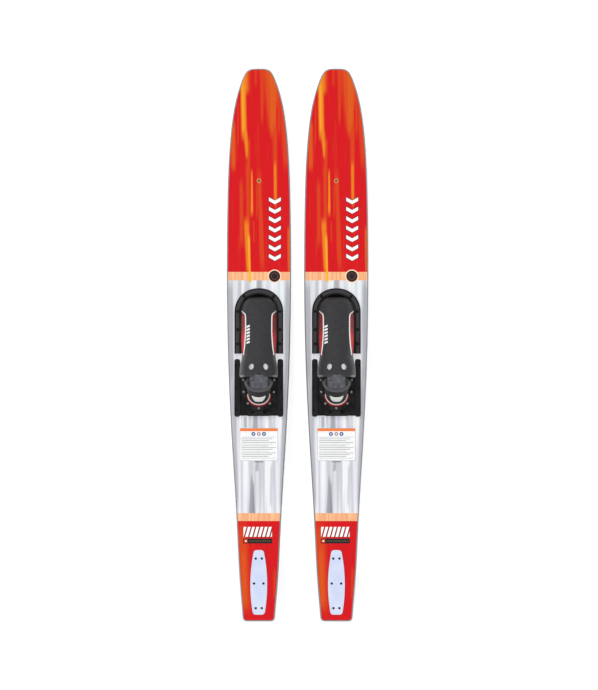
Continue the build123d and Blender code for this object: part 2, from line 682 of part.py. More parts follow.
# ---------------------------------------------------------------- slide rails
def rail(side):
    """One rail: a channel open towards the centreline, which the edge of the heel plate runs in."""
    with BuildPart() as channel:
        with BuildSketch(Plane.XY.offset(SKI_TOP)):
            with Locations((side * (RAIL_INNER + RAIL_WIDTH / 2), (RAIL_REAR + RAIL_FRONT) / 2)):
                RectangleRounded(RAIL_WIDTH, RAIL_FRONT - RAIL_REAR, RAIL_END_RADIUS)
        extrude(amount=RAIL_HEIGHT)
        fillet(channel.faces().sort_by(Axis.Z)[-1].edges(), radius=EDGE_ROUND)
        with Locations((side * RAIL_INNER, (RAIL_REAR + RAIL_FRONT) / 2, PLATE_BASE - SLIDE_GAP)):
            Box(
                2 * RAIL_GROOVE,
                2 * (RAIL_FRONT - RAIL_REAR),
                HEEL_PLATE + 2 * SLIDE_GAP,
                align=(Align.CENTER, Align.CENTER, Align.MIN),
                mode=Mode.SUBTRACT,
            )
        add(through_holes(RAIL_POINTS, BINDING_SCREW + HOLE_GAP, RAIL_TOP, SKI_TOP), mode=Mode.SUBTRACT)
        add(head_seats(RAIL_POINTS, BINDING_SCREW, RAIL_HEAD, RAIL_TOP), mode=Mode.SUBTRACT)
    return channel


left_rail = rail(-1)
right_rail = rail(1)

with BuildPart() as rail_screws:
    add(flat_screws(RAIL_POINTS, BINDING_SCREW, RAIL_HEAD, RAIL_TOP, BINDING_SCREW_TIP))


# ---------------------------------------------------------------- heel piece
def heel_form(wall):
    """The heel cup's outer form, or the space inside it, open to the front."""
    with BuildPart() as form:
        for height, flare, rear, straight in HEEL_LEVELS:
            half_width = HEEL_HALF_WIDTH + flare
            front = rear + half_width + straight
            with BuildSketch(Plane.XY.offset(PLATE_TOP + height)):
                add(horseshoe(half_width - wall, front + wall, rear + wall))
        loft()
    return form.part


with BuildPart() as heel_plate:
    with BuildSketch(Plane.XY.offset(PLATE_BASE)):
        with Locations((0, (HEEL_PLATE_REAR + HEEL_PLATE_FRONT) / 2)):
            RectangleRounded(
                2 * (RAIL_INNER + RAIL_GROOVE - SLIDE_GAP),
                HEEL_PLATE_FRONT - HEEL_PLATE_REAR,
                RAIL_END_RADIUS / 2,
            )
        with Locations((0, HEEL_PLATE_REAR)):
            Rectangle(
                NOSE_WIDTH + 2 * NOTCH_CLEARANCE,
                2 * (NOTCH_FRONT - HEEL_PLATE_REAR),
                mode=Mode.SUBTRACT,
            )
    extrude(amount=HEEL_PLATE)
    with BuildSketch(Plane.YZ) as ear:
        with Locations((LEVER_PIVOT_Y, PIVOT_Z)):
            Circle(EAR_RADIUS)
        with Locations((LEVER_PIVOT_Y, PLATE_BASE)):
            Rectangle(2 * EAR_RADIUS, PIVOT_Z - PLATE_BASE, align=(Align.CENTER, Align.MIN))
        with Locations((LEVER_PIVOT_Y, PIVOT_Z)):
            Circle(PIN_RADIUS + THREAD_GAP, mode=Mode.SUBTRACT)
    for side in (-1, 1):
        with Locations((side * EAR_X - EAR / 2, 0, 0)):
            add(extrude(ear.sketch, amount=EAR, mode=Mode.PRIVATE))
    add(through_holes(HEEL_POINTS, HEEL_SCREW + THREAD_GAP, PLATE_TOP, PLATE_BASE), mode=Mode.SUBTRACT)

with BuildPart() as heel_cup:
    with BuildSketch(Plane.XY.offset(PLATE_TOP)):
        add(horseshoe(CLAMP_HALF_WIDTH - FLANGE_INSET, HEEL_FLANGE_FRONT, CLAMP_REAR + FLANGE_INSET))
    extrude(amount=HEEL_FLANGE)
    add(heel_form(0))
    add(heel_form(HEEL_WALL), mode=Mode.SUBTRACT)
    with BuildSketch(Plane.YZ.offset(-CLAMP_HALF_WIDTH)):
        with BuildLine():
            Polyline(
                (COLLAR_DROP_START, COLLAR_TOP),
                (COLLAR_DROP_START + COLLAR_TOP, COLLAR_TOP - COLLAR_DROP * COLLAR_TOP),
                (COLLAR_DROP_START + COLLAR_TOP, 2 * COLLAR_TOP),
                (COLLAR_DROP_START, 2 * COLLAR_TOP),
                close=True,
            )
        make_face()
    extrude(amount=2 * CLAMP_HALF_WIDTH, mode=Mode.SUBTRACT)
    add(through_holes(HEEL_POINTS, HEEL_SCREW + HOLE_GAP, CLAMP_BASE, PLATE_TOP), mode=Mode.SUBTRACT)

with BuildPart() as heel_clamp:
    with BuildSketch(Plane.XY.offset(CLAMP_BASE)):
        add(horseshoe(CLAMP_HALF_WIDTH, CLAMP_FRONT, CLAMP_REAR))
        add(
            horseshoe(CLAMP_HALF_WIDTH - CLAMP_BAND, HEEL_PLATE_FRONT, CLAMP_REAR + CLAMP_BAND),
            mode=Mode.SUBTRACT,
        )
    extrude(amount=CLAMP)
    fillet(heel_clamp.faces().sort_by(Axis.Z)[-1].edges(), radius=EDGE_ROUND)
    add(through_holes(HEEL_POINTS, HEEL_SCREW + HOLE_GAP, CLAMP_TOP, CLAMP_BASE), mode=Mode.SUBTRACT)

with BuildPart() as heel_screws:
    with Locations([(x, y, CLAMP_TOP) for x, y in HEEL_POINTS]):
        Cylinder(HEEL_SCREW, CLAMP_TOP - HEEL_SCREW_TIP, align=(Align.CENTER, Align.CENTER, Align.MAX))
        Cylinder(
            HEEL_SCREW_HEAD,
            HEEL_SCREW_HEAD_HEIGHT,
            align=(Align.CENTER, Align.CENTER, Align.MIN),
        )
    fillet(heel_screws.edges().group_by(Axis.Z)[-1], radius=EDGE_ROUND)
    with Locations([(x, y, CLAMP_TOP + HEEL_SCREW_HEAD_HEIGHT) for x, y in HEEL_POINTS]):
        for turn in (0, 90):
            Box(
                RECESS_WIDTH,
                1.2 * HEEL_SCREW_HEAD,
                2 * RECESS_DEPTH,
                rotation=(0, 0, turn),
                mode=Mode.SUBTRACT,
            )

with BuildPart() as heel_footbed:
    with BuildSketch(Plane.XY.offset(PLATE_TOP)):
        add(
            horseshoe(
                HEEL_HALF_WIDTH - HEEL_WALL - HEEL_FOOTBED_GAP,
                HEEL_FLANGE_FRONT,
                HEEL_LEVELS[0][2] + HEEL_WALL + HEEL_FOOTBED_REAR_GAP,
            )
        )
    extrude(amount=HEEL_FOOTBED)
    fillet(heel_footbed.faces().sort_by(Axis.Z)[-1].edges(), radius=EDGE_ROUND)


# ---------------------------------------------------------------- lock
with BuildPart() as lock_lever:
    with BuildSketch(Plane.YZ.offset(-LEVER_HALF_WIDTH)):
        with Locations((LEVER_PIVOT_Y, PIVOT_Z)):
            Circle(LEVER_BARREL)
        with Locations((LEVER_PIVOT_Y, PIVOT_Z + LEVER_BARREL)):
            Rectangle(LEVER_PIVOT_Y - LEVER_REAR, LEVER_PADDLE, align=(Align.MAX, Align.MAX))
    extrude(amount=2 * LEVER_HALF_WIDTH)
    fillet(lock_lever.edges().filter_by(Axis.X).group_by(Axis.Y)[0], radius=LEVER_PADDLE / 2 - 0.1)
    with BuildSketch(Plane.YZ.offset(-NOSE_WIDTH / 2)):
        with Locations((LEVER_PIVOT_Y, PIVOT_Z)):
            Circle(LEVER_BARREL)
        with Locations((LEVER_PIVOT_Y, GRIP_TOP + GRIP_GAP + NOSE_RADIUS)):
            Circle(NOSE_RADIUS)
        make_hull()
    extrude(amount=NOSE_WIDTH)
    with BuildSketch(Plane.YZ.offset(-LEVER_HALF_WIDTH)):
        with Locations((LEVER_PIVOT_Y, PIVOT_Z)):
            Circle(PIN_RADIUS + PIN_GAP)
    extrude(amount=2 * LEVER_HALF_WIDTH, mode=Mode.SUBTRACT)
    with Locations([(side * SPRING_X, LEVER_PIVOT_Y, PIVOT_Z) for side in (-1, 1)]):
        Box(
            SPRING_TURNS * SPRING_PITCH + 2 * SPRING_ROOM,
            2 * (LEVER_BARREL + PIN_GAP),
            4 * LEVER_BARREL,
            mode=Mode.SUBTRACT,
        )

with BuildPart() as lock_pin:
    with BuildSketch(Plane.YZ.offset(-EAR_X - EAR / 2)):
        with Locations((LEVER_PIVOT_Y, PIVOT_Z)):
            Circle(PIN_RADIUS)
    extrude(amount=2 * EAR_X + EAR)

with BuildPart() as lock_spring:
    for side in (-1, 1):
        with BuildLine():
            coil = Helix(
                pitch=SPRING_PITCH,
                height=2 * SPRING_REACH,
                radius=SPRING_RADIUS,
                center=(side * SPRING_X - SPRING_REACH, LEVER_PIVOT_Y, PIVOT_Z),
                direction=(1, 0, 0),
            )
        with BuildSketch(Plane(origin=coil @ 0, z_dir=coil % 0)):
            Circle(SPRING_WIRE)
        sweep(path=coil)

with BuildPart() as grip_strip:
    with BuildSketch(Plane.XY.offset(SKI_TOP)):
        with Locations((0, LEVER_PIVOT_Y + HEEL_TRAVEL / 2)):
            RectangleRounded(
                GRIP_STRIP_WIDTH,
                HEEL_TRAVEL + 2 * GRIP_STRIP_OVERRUN,
                GRIP_STRIP,
            )
    extrude(amount=GRIP_STRIP)

# ---------------------------------------------------------------- the pair, set down on the floor
PIECES = {
    "core": core,
    "top_sheet": top_sheet,
    "base_sheet": base_sheet,
    "tip_insert": tip_insert,
    "binding_inserts": binding_inserts,
    "fin": fin,
    "fin_nuts": fin_nuts,
    "fin_plate": fin_plate,
    "fin_screws": fin_screws,
    "toe_base_plate": toe_base_plate,
    "toe_overlay": toe_overlay,
    "toe_frame": toe_frame,
    "toe_footbed": toe_footbed,
    "toe_screws": toe_screws,
    "rail_left": left_rail,
    "rail_right": right_rail,
    "rail_screws": rail_screws,
    "heel_plate": heel_plate,
    "heel_cup": heel_cup,
    "heel_clamp": heel_clamp,
    "heel_screws": heel_screws,
    "heel_footbed": heel_footbed,
    "lock_lever": lock_lever,
    "lock_pin": lock_pin,
    "lock_spring": lock_spring,
    "grip_strip": grip_strip,
}

# the floor touches the round toe of the fin and the rocker arc, so its slope is that of their common tangent
toe_to_arc = Vector(ROCKER_START - FIN_TOE_Y, ROCKER_RADIUS + FIN_DEPTH - FIN_TOE_RADIUS)
lean = acos((ROCKER_RADIUS - FIN_TOE_RADIUS) / toe_to_arc.length)
PITCH = degrees(lean - atan2(toe_to_arc.X, toe_to_arc.Y))
FLOOR = ROCKER_RADIUS * (cos(radians(PITCH)) - 1) - ROCKER_START * sin(radians(PITCH))
pitched = core.part.rotate(Axis.X, -PITCH).bounding_box()
RESTING = Pos(0, -(pitched.min.Y + pitched.max.Y) / 2, -FLOOR) * Rot(-PITCH, 0, 0)

os.makedirs("parts", exist_ok=True)
for side, x in (("left", -SKI_SPACING / 2), ("right", SKI_SPACING / 2)):
    for name, piece in PIECES.items():
        placed = Pos(x, 0, 0) * RESTING * piece.part
        placed.label = f"{side}_{name}"
        export_step(placed, f"parts/{side}_{name}.step")
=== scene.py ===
# %% [markdown]
# # A pair of water skis with rubber bindings
#
# Two long skis lie side by side. Each has a glossy printed deck, a bright bevelled edge, a small fin
# plate at the tail and a binding in the middle: a black frame that holds a rubber vamp for the toes, two
# rails, and a heel piece that slides in them. The engineering model already gives every solid part its
# size and place. This lesson dresses it: better finishes for the parts that are right as they are, and
# new meshes for the soft rubber ones.

# %% load the frame
import json
from math import atan2, cos, degrees, pi, radians, sin, sqrt

import bmesh
import bpy
from mathutils import Matrix, Vector
from mathutils.bvhtree import BVHTree


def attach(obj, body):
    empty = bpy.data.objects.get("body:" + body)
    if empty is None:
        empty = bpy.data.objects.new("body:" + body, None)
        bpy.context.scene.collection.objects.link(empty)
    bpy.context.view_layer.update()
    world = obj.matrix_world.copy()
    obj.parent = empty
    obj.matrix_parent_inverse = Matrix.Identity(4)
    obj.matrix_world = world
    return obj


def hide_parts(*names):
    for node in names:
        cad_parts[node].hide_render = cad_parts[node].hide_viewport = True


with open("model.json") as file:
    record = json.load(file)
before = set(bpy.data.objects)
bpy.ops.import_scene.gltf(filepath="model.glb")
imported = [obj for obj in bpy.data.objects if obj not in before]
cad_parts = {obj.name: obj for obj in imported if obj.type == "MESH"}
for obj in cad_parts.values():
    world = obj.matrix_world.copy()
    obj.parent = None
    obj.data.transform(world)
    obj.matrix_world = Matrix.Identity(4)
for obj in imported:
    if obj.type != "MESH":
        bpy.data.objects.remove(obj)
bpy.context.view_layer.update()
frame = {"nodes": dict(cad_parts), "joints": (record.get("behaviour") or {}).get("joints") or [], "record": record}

SIDES = {"left": -1, "right": 1}
MM = 0.001

# %% [markdown]
# ## The ski's own ruler
#
# A ski is drawn most easily in its own directions: across it, along it from the tail, and up from its
# base. But it rests on the floor tipped forward a little, on its fin and its curved belly. One matrix per
# ski turns its own millimetres into metres on the floor. Its forward direction is that of the heel slide,
# and one known point, the pivot of the lock lever, fixes the rest. Measuring by eye and nudging would
# also work, but drifts.

# %% one matrix per ski
LEVER_PIVOT = Vector((0, 653.5, 34.3))
JOINTS = {joint["name"]: joint for joint in frame["joints"]}


def ski_to_floor(side):
    """The matrix from a ski's own millimetres to metres on the floor."""
    forward = Vector(JOINTS[side + "_heel_slide"]["axis"]).normalized()
    across = Vector((1, 0, 0))
    up = across.cross(forward)
    turn = Matrix((across, forward, up)).transposed() * MM
    pivot = Vector(JOINTS[side + "_lever_hinge"]["pos_m"])
    return Matrix.Translation(pivot - turn @ LEVER_PIVOT) @ turn.to_4x4()


TO_FLOOR = {side: ski_to_floor(side) for side in SIDES}
HALF_SPACING = TO_FLOOR["right"].translation.x / MM
FORWARD = Vector(JOINTS["left_heel_slide"]["axis"]).normalized()
UP = Vector((1, 0, 0)).cross(FORWARD)
TAIL_ALONG = FORWARD.dot(TO_FLOOR["right"].translation) / MM
BASE_UP = UP.dot(TO_FLOOR["right"].translation) / MM
print("half spacing", round(HALF_SPACING, 2), "mm")
print("tipped", round(degrees(atan2(-FORWARD.z, FORWARD.y)), 3), "degrees")

# %% [markdown]
# ## Writing materials
#
# A material is a small flow chart of nodes. Placing them by hand in code is wordy, so one class writes
# them: each method adds a node and hands back its output, ready to feed the next. The most used one gives
# a point's place on its ski in millimetres, so a stripe can be painted at its real position, whichever of
# the two skis it is on.


# %% a writer for node materials
def ink(red, green, blue):
    """A printed colour, given as screen values from 0 to 255, as linear light."""
    values = (red, green, blue)
    light = [pow((value / 255 + 0.055) / 1.055, 2.4) if value > 10 else value / 3295 for value in values]
    return (*light, 1.0)


class Finish:
    """One material and the nodes in it."""

    def __init__(self, name, roughness=0.4, metallic=0.0, specular=0.5, coat=0.0, coat_roughness=0.05, sheen=0):
        self.material = bpy.data.materials.new(name)
        self.material.use_nodes = True
        self.tree = self.material.node_tree
        self.shader = self.tree.nodes["Principled BSDF"]
        settings = {
            "Roughness": roughness,
            "Metallic": metallic,
            "Coat Weight": coat,
            "Coat Roughness": coat_roughness,
            "Sheen Weight": sheen,
            "Specular IOR Level": specular,
        }
        for socket, value in settings.items():
            self.shader.inputs[socket].default_value = value

    def add(self, kind, feeds=(), out=0, **settings):
        """Adds a node, sets or feeds its inputs, and gives back one output."""
        made = self.tree.nodes.new(kind)
        for key, value in settings.items():
            setattr(made, key, value)
        for socket, value in feeds:
            if isinstance(value, bpy.types.NodeSocket):
                self.tree.links.new(value, made.inputs[socket])
            else:
                made.inputs[socket].default_value = value
        return made.outputs[out]

    def calc(self, operation, *values):
        return self.add("ShaderNodeMath", list(enumerate(values)), operation=operation)

    def fade(self, value, start, end, low=0.0, high=1.0):
        """A smooth change from low to high as value goes from start to end."""
        if start > end:
            start, end, low, high = end, start, high, low
        feeds = [(0, value), (1, start), (2, end), (3, low), (4, high)]
        return self.add("ShaderNodeMapRange", feeds, interpolation_type="SMOOTHSTEP")

    def blend(self, amount, first, second):
        """Two colours mixed."""
        return self.add("ShaderNodeMix", [(0, amount), (6, first), (7, second)], out=2, data_type="RGBA")

    def vector(self, across, along, up):
        return self.add("ShaderNodeCombineXYZ", [(0, across), (1, along), (2, up)])

    def noise(self, place, scale=1.0, detail=3.0, rough=0.5):
        feeds = [("Vector", place), ("Scale", scale), ("Detail", detail), ("Roughness", rough)]
        return self.add("ShaderNodeTexNoise", feeds)

    def repeat(self, value, step):
        """A value that starts again from 0 at every step."""
        return self.calc("MULTIPLY", self.calc("FRACT", self.calc("DIVIDE", value, step)), step)

    def from_line(self, value, line):
        """How far a value is from a line, on either side."""
        return self.calc("ABSOLUTE", self.calc("SUBTRACT", value, line))

    def reach(self, spot, direction, start):
        """How far a spot is in one direction, in millimetres from a start."""
        feeds = [(0, spot), (1, direction / MM)]
        far = self.add("ShaderNodeVectorMath", feeds, out=1, operation="DOT_PRODUCT")
        return self.calc("SUBTRACT", far, start)

    def ski_place(self):
        """Across, along and up on the ski, in millimetres."""
        spot = self.add("ShaderNodeTexCoord", out=3)
        flat = self.add("ShaderNodeSeparateXYZ", [(0, spot)])
        side = self.calc("MULTIPLY", self.calc("SIGN", flat), HALF_SPACING)
        across = self.calc("SUBTRACT", self.calc("DIVIDE", flat, MM), side)
        return across, self.reach(spot, FORWARD, TAIL_ALONG), self.reach(spot, UP, BASE_UP)

    def stretched(self, place, across, along, up):
        """The place on the ski with each direction divided by its own length, for grain and brush marks."""
        parts = [self.calc("DIVIDE", part, length) for part, length in zip(place, (across, along, up))]
        return self.vector(*parts)

    def bump(self, height, strength, distance):
        """Relief from a height from 0 to 1, distance millimetres deep."""
        feeds = [("Height", height), ("Strength", strength), ("Distance", distance * MM)]
        normal = self.add("ShaderNodeBump", feeds)
        self.tree.links.new(normal, self.shader.inputs["Normal"])

    def colour(self, value):
        self.tree.links.new(value, self.shader.inputs["Base Color"])

    def colour_now(self):
        """The output that feeds the colour at present, so that more can be laid over it."""
        return self.shader.inputs["Base Color"].links[0].from_socket

    def roughness(self, value):
        self.tree.links.new(value, self.shader.inputs["Roughness"])

    def inside(self, value, low, high, soft):
        """1 between low and high, with soft edges."""
        rising = self.fade(value, low - soft, low + soft)
        falling = self.fade(value, high - soft, high + soft, 1.0, 0.0)
        return self.calc("MULTIPLY", rising, falling)


print("finish writer ready")

# %% [markdown]
# ## The printed deck
#
# The top of each ski is a thin sheet with ink under clear gloss: flames at the tip, a brushed silver
# middle whose long light and grey bands are painted reflection, and a red tail, with a pale band at each
# change. The ink is laid as soft strokes. Each stroke is a long line that shifts and narrows between two
# places, and a grain stretched along the ski makes its edges ragged like a dry brush. A picture would be
# quicker, but strokes stay sharp at any distance and can be moved one at a time.

# %% inks and strokes
RED = ink(205, 10, 20)
DEEP_RED = ink(184, 12, 22)
FLAME = ink(208, 62, 18)
ORANGE = ink(212, 88, 18)
AMBER = ink(228, 128, 22)
YELLOW = ink(238, 176, 44)
PEACH = ink(233, 166, 120)
STEEL = ink(152, 155, 161)
GRAPHITE = ink(126, 129, 135)
PAPER = ink(246, 246, 244)
NIGHT = ink(34, 30, 34)

# across at the tip end, across at the tail end, width at each, along at each, ink, how much of it
TIP_STROKES = [
    (34, 52, 74, 34, 1800, 1500, FLAME, 1.0),
    (40, 44, 46, 12, 1780, 1500, ORANGE, 0.85),
    (9, 10, 15, 8, 1760, 1545, FLAME, 0.85),
    (76, 84, 22, 14, 1690, 1400, FLAME, 0.9),
    (57, 59, 5, 5, 1640, 1400, RED, 1.0),
    (30, 36, 5, 3, 1740, 1540, FLAME, 0.8),
    (51, 52, 14, 11, 1580, 1290, FLAME, 1.0),
    (51, 52, 8, 8, 1450, 1290, AMBER, 0.8),
    (-44, -44, 40, 34, 1790, 1640, FLAME, 1.0),
    (-46, -44, 24, 22, 1790, 1640, AMBER, 0.75),
    (-10, -10, 10, 8, 1760, 1665, FLAME, 0.6),
    (-50, -46, 17, 19, 1740, 1495, AMBER, 1.0),
    (-51, -48, 8, 8, 1700, 1520, YELLOW, 0.5),
    (-44, -34, 15, 9, 1545, 1440, AMBER, 0.9),
    (-30, -35, 5, 12, 1525, 1380, FLAME, 0.95),
    (-35, -34, 12, 13, 1460, 1190, FLAME, 0.95),
    (-66, -66, 5, 5, 1640, 1480, FLAME, 0.7),
    (-82, -80, 16, 14, 1580, 1400, ORANGE, 0.8),
    (-56, -54, 13, 12, 1400, 1160, FLAME, 0.9),
    (-23, -22, 6, 8, 1425, 1262, AMBER, 1.0),
    (-17, -16, 4, 4, 1262, 1180, FLAME, 0.9),
    (-40, -32, 17, 13, 1275, 1075, AMBER, 0.9),
    (-32, -29, 7, 6, 1225, 1060, YELLOW, 0.75),
    (-1, 12, 13, 15, 1440, 1075, FLAME, 0.95),
    (-7, -7, 5, 4, 1380, 1255, FLAME, 0.8),
    (93, 94, 9, 7, 1250, 1075, ORANGE, 0.95),
]
TAIL_STROKES = [
    (-56, -44, 40, 42, 330, 4, FLAME, 1.0),
    (-50, -42, 16, 16, 240, 30, ORANGE, 0.6),
    (-62, -58, 6, 5, 250, 60, RED, 0.35),
    (50, 48, 7, 7, 175, 60, FLAME, 0.7),
    (20, 24, 18, 20, 262, 40, DEEP_RED, 0.35),
]
SILVER_STROKES = [
    (-22, -22, 3, 25, 470, 300, STEEL, 1.0),
    (-17, -16, 3, 11, 450, 300, GRAPHITE, 0.6),
    (-11, -11, 14, 20, 660, 585, STEEL, 0.9),
    (-42, -42, 12, 12, 645, 600, STEEL, 0.8),
    (-4, -6, 9, 12, 505, 466, STEEL, 0.7),
    (36, 38, 10, 12, 650, 595, STEEL, 0.5),
    (40, 38, 9, 10, 505, 345, STEEL, 0.4),
    (-84, -66, 20, 12, 800, 300, STEEL, 0.75),
    (86, 67, 20, 12, 800, 300, STEEL, 0.75),
    (-90, -88, 20, 22, 1110, 700, STEEL, 0.8),
    (92, 90, 20, 20, 1110, 700, STEEL, 0.8),
    (2, 1, 18, 20, 1100, 1020, STEEL, 0.8),
    (-60, -62, 12, 16, 1080, 990, STEEL, 0.5),
    (34, 36, 12, 10, 1080, 1000, ink(206, 222, 226), 0.7),
]


def brush(finish, ground, strokes, along, ragged):
    """Lays soft strokes on a ground colour, one over the other."""
    for first, last, thick, thin, start, end, colour, strength in strokes:
        run = finish.add("ShaderNodeMapRange", [(0, along), (1, end), (2, start), (3, 0.0), (4, 1.0)])
        middle = finish.add("ShaderNodeMapRange", [(0, run), (3, last), (4, first)])
        half = finish.add("ShaderNodeMapRange", [(0, run), (3, thin / 2), (4, thick / 2)])
        off = finish.from_line(ragged, middle)
        body = finish.fade(finish.calc("DIVIDE", off, half), 1.3, 0.45)
        ends = finish.fade(finish.from_line(run, 0.5), 0.5, 0.3)
        cover = finish.calc("MULTIPLY", finish.calc("MULTIPLY", body, ends), strength)
        ground = finish.blend(cover, ground, colour)
    return ground


# %% [markdown]
# Between the strokes sit a few plain printed marks. Where such skis carry a maker's words, these carry a
# row of chevrons, a row of slanted bars, a disc and a dark strip. Each mark is a rule such as "white
# where the distance from this line is under nine millimetres", so its edge is crisp and its outline is
# the same rule, a little wider.


# %% plain printed marks
CHEVRONS_ACROSS, CHEVRONS_LOW, CHEVRONS_HIGH, CHEVRON_STEP, CHEVRON_LEAN = 50.0, 1121.0, 1328.0, 29.6, 0.55
BARS_LEFT, BARS_RIGHT, BARS_LOW, BARS_HIGH, BAR_STEP, BAR_LEAN = -48.0, 41.5, 264.0, 295.0, 13.2, 0.28
CRISP = 0.4  # half the width, in millimetres, over which a printed edge turns


def chevron_row(finish, ground, across, along):
    """Pale chevrons with a dark outline up the right of the tip."""
    off = finish.from_line(across, CHEVRONS_ACROSS)
    lean = finish.calc("MULTIPLY_ADD", off, -CHEVRON_LEAN, along)
    step = finish.repeat(finish.calc("SUBTRACT", lean, CHEVRONS_LOW), CHEVRON_STEP)
    rim = finish.from_line(step, CHEVRON_STEP / 2)
    for reach, thick, colour in ((20.4, 7.4, NIGHT), (18.6, 5.6, PAPER)):
        wide = finish.fade(off, reach + CRISP, reach - CRISP)
        bar = finish.fade(rim, thick + CRISP, thick - CRISP)
        span = finish.inside(lean, CHEVRONS_LOW, CHEVRONS_HIGH, CRISP)
        cover = finish.calc("MULTIPLY", finish.calc("MULTIPLY", wide, bar), span)
        ground = finish.blend(cover, ground, colour)
    return ground


def slanted_bars(finish, ground, across, along):
    """A row of pale slanted bars with a dark shadow above the fin plate."""
    for shift, thick, colour in ((1.6, 4.6, NIGHT), (0.0, 4.2, PAPER)):
        moved = finish.calc("SUBTRACT", across, shift)
        lowered = finish.calc("ADD", along, shift)
        lean = finish.calc("MULTIPLY_ADD", lowered, -BAR_LEAN, moved)
        rim = finish.from_line(finish.repeat(lean, BAR_STEP), BAR_STEP / 2)
        bar = finish.fade(rim, thick + CRISP, thick - CRISP)
        tall = finish.inside(lowered, BARS_LOW, BARS_HIGH, CRISP)
        wide = finish.inside(moved, BARS_LEFT, BARS_RIGHT, CRISP)
        cover = finish.calc("MULTIPLY", finish.calc("MULTIPLY", bar, tall), wide)
        ground = finish.blend(cover, ground, colour)
    return ground


def boxed(finish, ground, across, along, sides, colour):
    """A plain rectangle of ink: left, right, lower and upper edge."""
    left, right, lower, upper = sides
    wide = finish.inside(across, left, right, 0.3)
    tall = finish.inside(along, lower, upper, 0.3)
    return finish.blend(finish.calc("MULTIPLY", wide, tall), ground, colour)


def disc(finish, ground, across, along, centre, radius, colour):
    """A round spot of ink."""
    sideways = finish.calc("POWER", finish.calc("SUBTRACT", across, centre[0]), 2.0)
    lengthways = finish.calc("POWER", finish.calc("SUBTRACT", along, centre[1]), 2.0)
    far = finish.calc("SQRT", finish.calc("ADD", sideways, lengthways))
    return finish.blend(finish.fade(far, radius + 0.3, radius - 0.3), ground, colour)


# %% the deck finish
TAIL_END, SILVER_START, SILVER_END, TIP_START = 313.4, 338.0, 1068.5, 1095.0
DISC_SPOT = (49.0, 1081.5)
DISC_RINGS = [(21.0, ink(250, 214, 178)), (17.8, NIGHT), (11.0, ink(120, 60, 52)), (9.4, NIGHT)]
TIP_HOLE = (0.0, 1381.0)


def deck_finish():
    """The printed sheet from tail to tip."""
    finish = Finish("printed_deck", roughness=0.34, coat=0.2, coat_roughness=0.08, specular=0.3)
    place = finish.ski_place()
    across, along, up = place
    streaks = finish.noise(finish.stretched(place, 7.0, 150.0, 100.0), detail=4.0)
    fine = finish.noise(finish.stretched(place, 1.4, 60.0, 100.0), detail=2.0)
    wander = finish.calc("MULTIPLY", finish.calc("SUBTRACT", streaks, 0.5), 5.0)
    ragged = finish.calc("ADD", across, wander)

    glow = finish.blend(finish.fade(streaks, 0.54, 0.74, 0.0, 0.4), RED, FLAME)
    glow = finish.blend(finish.fade(fine, 0.5, 0.72, 0.0, 0.35), glow, DEEP_RED)
    tip = brush(finish, glow, TIP_STROKES, along, ragged)
    tip = chevron_row(finish, tip, across, along)

    calm = finish.blend(finish.fade(streaks, 0.54, 0.74, 0.0, 0.3), RED, FLAME)
    tail = brush(finish, calm, TAIL_STROKES, along, ragged)
    tail = slanted_bars(finish, tail, across, along)
    tail = boxed(finish, tail, across, along, (-49.0, 42.0, 243.2, 258.4), NIGHT)
    tail = boxed(finish, tail, across, along, (-46.6, -35.0, 245.6, 256.0), FLAME)
    tail = disc(finish, tail, across, along, (-40.8, 250.8), 2.6, PAPER)
    tail = boxed(finish, tail, across, along, (-31.0, 38.0, 249.6, 252.0), ink(92, 84, 52))

    # Painted reflection: soft light and grey bands down the length of the silver print.
    sheen = finish.noise(finish.stretched(place, 15.0, 620.0, 100.0), detail=2.5)
    silver_with_reflection = finish.blend(finish.fade(sheen, 0.4, 0.63), ink(236, 236, 239), ink(190, 192, 199))
    silver_with_reflection = finish.blend(finish.fade(fine, 0.35, 0.68, 0.0, 0.3), silver_with_reflection, ink(206, 208, 214))
    tint = finish.noise(finish.stretched(place, 40.0, 130.0, 100.0), detail=1.0)
    silver_with_reflection = finish.blend(finish.fade(tint, 0.56, 0.72, 0.0, 0.35), silver_with_reflection, ink(206, 205, 228))
    silver_with_reflection = finish.blend(finish.fade(tint, 0.44, 0.30, 0.0, 0.3), silver_with_reflection, ink(205, 222, 226))
    silver = brush(finish, silver_with_reflection, SILVER_STROKES, along, ragged)
    silver = boxed(finish, silver, across, along, (-14.0, 14.0, 497.6, 499.6), NIGHT)

    colour = finish.blend(finish.fade(along, SILVER_START - CRISP, SILVER_START + CRISP), tail, silver)
    colour = finish.blend(finish.fade(along, SILVER_END - CRISP, SILVER_END + CRISP), colour, tip)
    paler = finish.blend(finish.fade(streaks, 0.4, 0.7), PEACH, ink(250, 196, 150))
    for low, high in ((TAIL_END, SILVER_START), (SILVER_END, TIP_START)):
        colour = finish.blend(finish.inside(along, low, high, CRISP), colour, paler)
    colour = boxed(finish, colour, across, along, (-31.5, -24.5, 1062.0, 1096.0), YELLOW)
    for radius, spot in DISC_RINGS:
        colour = disc(finish, colour, across, along, DISC_SPOT, radius, spot)
    colour = disc(finish, colour, across, along, TIP_HOLE, 7.0, ink(206, 150, 84))
    finish.colour(colour)
    scuffs = finish.noise(finish.stretched(place, 3.0, 22.0, 20.0), detail=5.0, rough=0.65)
    finish.roughness(finish.fade(scuffs, 0.3, 0.75, 0.24, 0.42))
    finish.bump(scuffs, 0.12, 0.04)
    return finish.material


DECK = deck_finish()
print("deck nodes", len(DECK.node_tree.nodes))

# %% [markdown]
# ## Metals, plastics and rubbers
#
# The other parts are plain in colour, so what tells them apart is how they catch light. Moulded plastic
# has a fine pebbled grain and edges that handling has polished. Anodised metal is darker and smoother,
# with hair scratches along its length. Rubber scatters light widely and shows dust in its hollows. Each
# is one short recipe.


